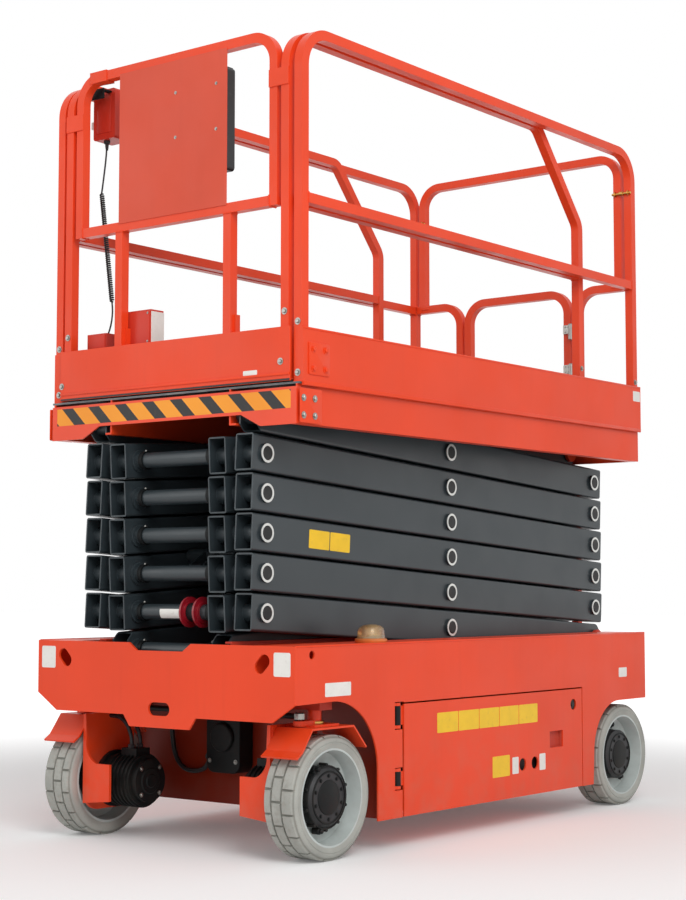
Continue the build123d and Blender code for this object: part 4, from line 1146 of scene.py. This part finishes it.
def addGateFittings(facts):
    pinX, pinY = facts["pin"]
    sleeve = [(0, 22), (6, 22), (9.8, 20), (9.8, -42), (6, -44), (0, -44)]
    makePiece("hingeSleeves", "platform", "zinc", [(addTurned, sleeve, (pinX, pinY, z), upward, 20)
                                                   for z in facts["hinges"]])
    makePiece("hingeLeaves", "gate", "zinc", [
        (addSlab, roundedRectangle(36, 36, 4), (-1010, 246, z), forward, leftward, 3)
        for z in facts["hinges"]], 0.8, 1)
    addHeads("hingeBolts", [(-1007, y, z + dz, forward) for z in facts["hinges"] for y in (238, 252)
                            for dz in (-10, 10)], "gate", "zinc", 3, 3, 4.5)
    # spring bolt on the free side, with its knob, and the catch that it drops into
    z = facts["latchZ"]
    makePiece("latchBody", "gate", "zinc", [(addBox, (-1014, -262, z - 23), (-1006, -228, z + 23)),
                                            (addTube, [(-1006, -262, z), (-1006, -222, z)], 5, 14)], 1)
    knob = [(0, 20), (9, 20), (11, 17), (11, 12), (5, 9), (5, 0), (0, 0)]
    makePiece("latchKnob", "gate", "moulded", [(addTurned, knob, (-1006, -238, z), forward, 20)])
    makePiece("latchCatch", "platform", "zinc", [(addBox, (-1014, -303, z - 27), (-1008, -274, z + 27)),
                                                 (addBox, (-1008, -292, z - 21), (-1000, -276, z + 21))], 1)
    # pin with its washers between each rear hoop leg and the post beside it
    clips = []
    for side, _, _ in both:
        middle = (-1008, side * 504, facts["clipZ"])
        clips.append((addTube, [(-1008, side * y, facts["clipZ"]) for y in (462, 546)], 5, 14))
        for radius, low, high in ((11, -30, -26), (11, 28, 32), (9, -8, 8)):
            washer = [(5, low), (radius, low), (radius, high), (5, high)]
            clips.append((addTurned, washer, middle, leftward, 20, True))
    makePiece("hoopClips", "platform", "brass", clips, 0.6, 1)


addGateFittings(gateFacts)
print("gate ready")

# front end
frontFacts = {
    "kingpin": (898, 470), "bayHousing": (640, -78, 352), "housingBolts": ((-136, -20), (250, 450)),
    "bayHose": [(690, -148, 262), (680, -166, 244), (664, -205, 214), (654, -262, 202), (652, -312, 212),
                (652, -346, 246), (652, -362, 300), (652, -368, 372), (641, -372, 408)],
    "rodEnds": (970, 470, 438), "rodNutsY": 380,
}


def addFrontEnd(facts):
    # black housing on the bay's front wall, with the hose that hangs from it
    x, y, z = facts["bayHousing"]
    makePiece("bayHousing", "chassis", "motor_black", [
        (addSlab, roundedRectangle(150, 284, 34, 8), (x, y, z), forward, leftward, 70),
        (addTurned, [(0, 84), (44, 84), (50, 78), (50, 68), (0, 68)], (x, y, 330), forward, 40)], 6, 3)
    boltsY, boltsZ = facts["housingBolts"]
    addHeads("housingBolts", [(x + 70, y, z, forward) for y in boltsY for z in boltsZ], "chassis", "zinc", 5,
             5, 8)
    makePiece("bayHose", "chassis", "hose", [
        (addTube, smoothPath(facts["bayHose"], 6), 8, 14),
        (addTurned, [(0, 16), (12, 16), (14, 12), (14, 0), (0, 0)], (690, -152, 266), (0, -0.6, -0.8), 6)])
    for side, label, way in both:
        knuckle = f"knuckle_{label.lower()}"
        near, far = sorted((side * 552, side * 562))
        makePiece(f"topLip{label}", "chassis", "chassis_red",
                  [(addBox, (-1046, near, 651), (1092, far, 657))], 1.5)
        x, y = facts["kingpin"][0], side * facts["kingpin"][1]
        for name, body, look, section, z, steps, closed in (
                ("Washer", "chassis", "brass", [(20.2, 0), (31, 0), (31, 4), (20.2, 4)], 516, 36, True),
                ("Collar", knuckle, "brass", [(22.3, 0), (30, 0), (30, 6), (27, 8), (22.3, 8)], 414, 36,
                 True),
                ("Cap", knuckle, "motor_black", [(0, 22), (17, 22), (19, 19), (19, 0), (0, 0)], 520, 32,
                 False),
                ("Lid", knuckle, "brass", [(0, 27), (20, 27), (22, 25), (22, 22), (0, 22)], 520, 32, False)):
            makePiece(f"kingpin{name}{label}", body, look,
                      [(addTurned, section, (x, y, z), upward, steps, closed)])
        addWelds(f"knuckleWelds{label}", [[(plateX, side * 408, 160), (plateX, side * 408, 405)]
                                          for plateX in (1025, 812)], knuckle, "chassis_red")
    x, endY, z = facts["rodEnds"]
    ends = []
    for y in (-endY, endY):
        ends += [(addTurned, [(0, 2.6), (9, 2.6), (11, 1), (11, -2), (0, -2)], (x, y, z + 8.5), upward, 24),
                 (addTurned, [(15.2, -9), (17, -9), (17, 9), (15.2, 9)], (x, y, z), upward, 28, True)]
    ends += [(addTurned, [(0, -16), (12.5, -16), (12.5, 16), (0, 16)], (x, y, z), leftward, 6)
             for y in (-facts["rodNutsY"], facts["rodNutsY"])]
    makePiece("rodEnds", "tie_rod", "zinc", ends, 0.6, 1)


motorFacts = {"axle": (898, 190.5), "end": 230, "fins": 6, "firstFin": 262, "finPitch": 18,
              "cablesX": (878, 918), "boltCircle": 60}


def addMotorParts(facts):
    x, z = facts["axle"]
    for side, label, way in both:
        knuckle = f"knuckle_{label.lower()}"
        end = (x, side * facts["end"], z)
        fins = [(addTurned, [(84.2, -3), (90, -2), (90, 2), (84.2, 3)],
                 (x, side * (facts["firstFin"] + facts["finPitch"] * i), z), leftward, 44, True)
                for i in range(facts["fins"])]
        cover = [(0, 6), (20, 6), (24, 3), (40, 3), (44, 0), (44, -2), (0, -2)]
        makePiece(f"motorFins{label}", knuckle, "motor_black", fins + [(addTurned, cover, end, -way, 36)])
        cables = []
        for cableX in facts["cablesX"]:
            route = [(cableX, side * 300, 297), (cableX, side * 300, 330), (cableX + 2, side * 318, 372),
                     (cableX + 4, side * 350, 396), (cableX + 4, side * 394, 400)]
            cables += [(addTube, smoothPath(route, 6), 7, 12),
                       (addTurned, [(0, 14), (9, 14), (11, 11), (11, 0), (0, 0)], (cableX, side * 300, 296),
                        upward, 6)]
        makePiece(f"motorCables{label}", knuckle, "hose", cables)
        circle = facts["boltCircle"]
        turns = [math.pi / 4 + math.pi / 2 * i for i in range(4)]
        addHeads(f"motorBolts{label}", [(x + circle * math.cos(a), end[1], z + circle * math.sin(a), -way)
                                        for a in turns], knuckle, "zinc", 5, 5, 8)


# side doors
doorFacts = {"face": 560, "lock": (-502, 402), "cup": {"x": (-428, -333), "z": (253, 316), "depth": 19},
             "hinge": (575, 548), "knuckles": ((222, 22), (422, 30)),
             "weldsX": (-520, -300, -100, 100, 300, 500)}


def addDoorFittings(facts):
    for side, label, way in both:
        body, out = f"door_{label.lower()}", side * facts["face"]
        lock = (facts["lock"][0], out, facts["lock"][1])
        makePiece(f"doorLock{label}", body, "lockBlack", [
            (addTurned, [(0, -5), (15, -5), (17, -7), (20, -7), (20, -9), (0, -9)], lock, way, 24),
            (addTurned, [(0, -2), (7, -2), (8, -5), (0, -5)], lock, way, 20)])
        # recessed cup behind the square opening
        (x0, x1), (z0, z1), depth = facts["cup"].values()
        inside = out - side * depth
        near, far = sorted((out - side * 7, inside))
        walls = [((x0, z0), (x0 + 4, z1)), ((x1 - 4, z0), (x1, z1)), ((x0, z1 - 4), (x1, z1)),
                 ((x0, z0), (x1, z0 + 4))]
        cup = [(addBox, (low[0], near, low[1]), (high[0], far, high[1])) for low, high in walls]
        near, far = sorted((inside, inside + side * 3))
        makePiece(f"handleCup{label}", body, "axle_red", cup + [(addBox, (x0, near, z0), (x1, far, z1))], 1,
                  1)
        hinges = []
        for z, tall in facts["knuckles"]:
            barrel = [(0, tall + 4), (8, tall + 4), (12.4, tall), (12.4, -tall), (8, -tall - 4),
                      (0, -tall - 4)]
            hinges.append((addTurned, barrel, (facts["hinge"][0], side * facts["hinge"][1], z), upward, 24))
        makePiece(f"doorKnuckles{label}", body, "motor_black", hinges)
        addWelds(f"doorWelds{label}", [[(x, side * 553, 116) for x in facts["weldsX"]]], body, "chassis_red")


addFrontEnd(frontFacts)
addMotorParts(motorFacts)
addDoorFittings(doorFacts)
print("chassis fittings ready")

# batteries and oil unit, behind the doors
batteryFacts = {"low": 114, "high": 440, "rear": -484, "front": 464, "inner": 240, "outer": 540, "count": 4,
                "gap": 3, "capsY": (300, 390, 480), "ribsZ": (180, 240, 300)}


def addBatteries(facts):
    # cased cells in a row on the left tray, with caps, posts and links
    length = (facts["front"] - facts["rear"]) / facts["count"]
    inner, outer, gap, top = facts["inner"], facts["outer"], facts["gap"], facts["high"] - 34
    cases, caps, posts = [], [], []
    for i in range(facts["count"]):
        x0 = facts["rear"] + i * length + gap
        x1 = x0 + length - 2 * gap
        cases += [(addBox, (x0, inner + 4, facts["low"]), (x1, outer - 4, top - 26)),
                  (addBox, (x0 + 1, inner + 2, top - 30), (x1 - 1, outer - 2, top))]
        cases += [(addBox, (x0 + 12, outer - 5, z), (x1 - 12, outer - 1, z + 8)) for z in facts["ribsZ"]]
        caps += [((x0 + x1) / 2, y, top, upward) for y in facts["capsY"]]
        posts += [(x0 + 34, 270, top, upward), (x1 - 34, 510, top, upward)]
    makePiece("batteryCases", "door_left", "battery_black", cases, 5, replaced=("battery_block_left",))
    addCaps("batteryCaps", caps, "door_left", "yellowLabel", 18, 12, 3)
    addCaps("batteryPosts", posts, "door_left", "zinc", 9, 16, 3)
    rise, links = Vector((0, 0, 18)), []
    for first, second in zip(posts[1::2], posts[2::2]):
        a, b = Vector(first[:3]), Vector(second[:3])
        route = [a + rise * 0.7, a + rise, (a + b) / 2 + rise * 0.6, b + rise, b + rise * 0.7]
        links.append((addTube, smoothPath(route, 6), 6, 12))
    makePiece("batteryLinks", "door_left", "hose", links)


oilFacts = {
    "pump": (0, -392, 232), "pumpFins": (60, 90, 120, 150, 180),
    "coils": [(340, -460), (340, -330), (415, -460), (415, -330)],
    "pipes": [[(-90, -300, 404), (-90, -300, 428), (-40, -300, 432), (180, -300, 420), (300, -310, 400),
               (330, -396, 380), (340, -396, 331)],
              [(-90, -480, 404), (-90, -480, 426), (-40, -480, 430), (200, -470, 420), (380, -460, 410),
               (440, -396, 380), (420, -396, 331)]],
}


def addOilUnit(facts):
    # tank, pump motor, valve block and pipes on the right tray
    low = batteryFacts["low"]
    makePiece("oilTank", "door_right", "battery_black", [
        (addBox, (-478, -536, low), (-30, -246, 400)), (addBox, (-486, -540, 394), (-22, -242, 404))], 8, 3,
        replaced=("battery_block_right",))
    motor = [(0, 0), (86, 0), (92, 6), (92, 250), (86, 258), (60, 262), (60, 276), (0, 276)]
    x, y, z = facts["pump"]
    fins = [(addTurned, [(92.2, -4), (98, -3), (98, 3), (92.2, 4)], (x + far, y, z), forward, 48, True)
            for far in facts["pumpFins"]]
    makePiece("pumpMotor", "door_right", "motor_black", [(addTurned, motor, (x, y, z), forward, 48), *fins])
    makePiece("valveBlock", "door_right", "zinc", [
        (addBox, (296, -520, low), (460, -270, 250)), (addBox, (310, -500, 250), (446, -290, 330))], 4)
    coil = [(0, 78), (15, 78), (18, 74), (18, 10), (22, 8), (22, 0), (0, 0)]
    filler = [(0, 30), (26, 30), (30, 26), (30, 0), (0, 0)]
    makePiece("valveCoils", "door_right", "moulded", [(addTurned, coil, (x, y, 330), upward, 24)
                                                      for x, y in facts["coils"]]
              + [(addTurned, filler, (-380, -330, 404), upward, 28)])
    makePiece("oilPipes", "door_right", "hose",
              [(addTube, smoothPath(route, 6), 9, 12) for route in facts["pipes"]])


addBatteries(batteryFacts)
addOilUnit(oilFacts)
print("power units ready")

# beacon: each part's section of (radius, height)
beaconFacts = {
    "middle": (648, 500, 655),
    "parts": {
        "Base": ("amberBase", 48, [(0, 0), (50, 0), (52, 3), (52, 11), (47, 14), (0, 14)]),
        "Dome": ("beacon_amber", 56, [
            (38, 14), (45, 14), (45, 22), (43.5, 24), (44, 36), (40, 46), (32, 53), (18, 57.5), (0, 58.5),
            (0, 52), (16, 51), (29, 47), (36, 41), (39, 33), (39, 20)]),
        "Lamp": ("whiteLabel", 32, [(0, 14), (34, 14), (30, 20), (14, 22), (14, 38), (20, 42), (16, 47),
                                    (0, 48)]),
    },
}
for name, (look, steps, section) in beaconFacts["parts"].items():
    makePiece("beacon" + name, "chassis", look, [(addTurned, section, beaconFacts["middle"], upward, steps)],
              replaced=("beacon",) if name == "Dome" else ())

# ladder
ladderFacts = {"x": -1160, "half": 190, "rungs": [520 + 240 * step for step in range(4)], "feetZ": (430, 515),
               "grip": (3.5, 2.2, 1, 8)}  # radius, height, chamfer and sides of each stud


def addLadderFittings(facts):
    x, tubeSide = facts["x"], 15
    studs = []
    for z in facts["rungs"]:
        across = range(-160, 161, 20)
        studs += [(x - tubeSide, y, z + dz, back) for y in across for dz in (-7, 7)]
        studs += [(x + dx, y, z + tubeSide, upward) for y in across for dx in (-7, 7)]
    addCaps("rungGrips", studs, "chassis", "chassis_red", *facts["grip"])
    addWelds("ladderWelds", [squareRound(x, side * 175, z, tubeSide, "y") for z in facts["rungs"]
                             for side in (1, -1)], "chassis", "chassis_red")
    makePiece("ladderFeet", "chassis", "chassis_red", [
        (addSlab, roundedRectangle(84, 50, 6), (-1050, side * facts["half"], z), back, rightward, 4)
        for side in (1, -1) for z in facts["feetZ"]], 1)
    addHeads("ladderBolts", [(-1054, side * facts["half"] + dy, z, back) for side in (1, -1)
                             for dy in (-26, 26) for z in facts["feetZ"]], "chassis", "zinc", 6, 6, 9)


addLadderFittings(ladderFacts)
print("beacon and ladder ready")
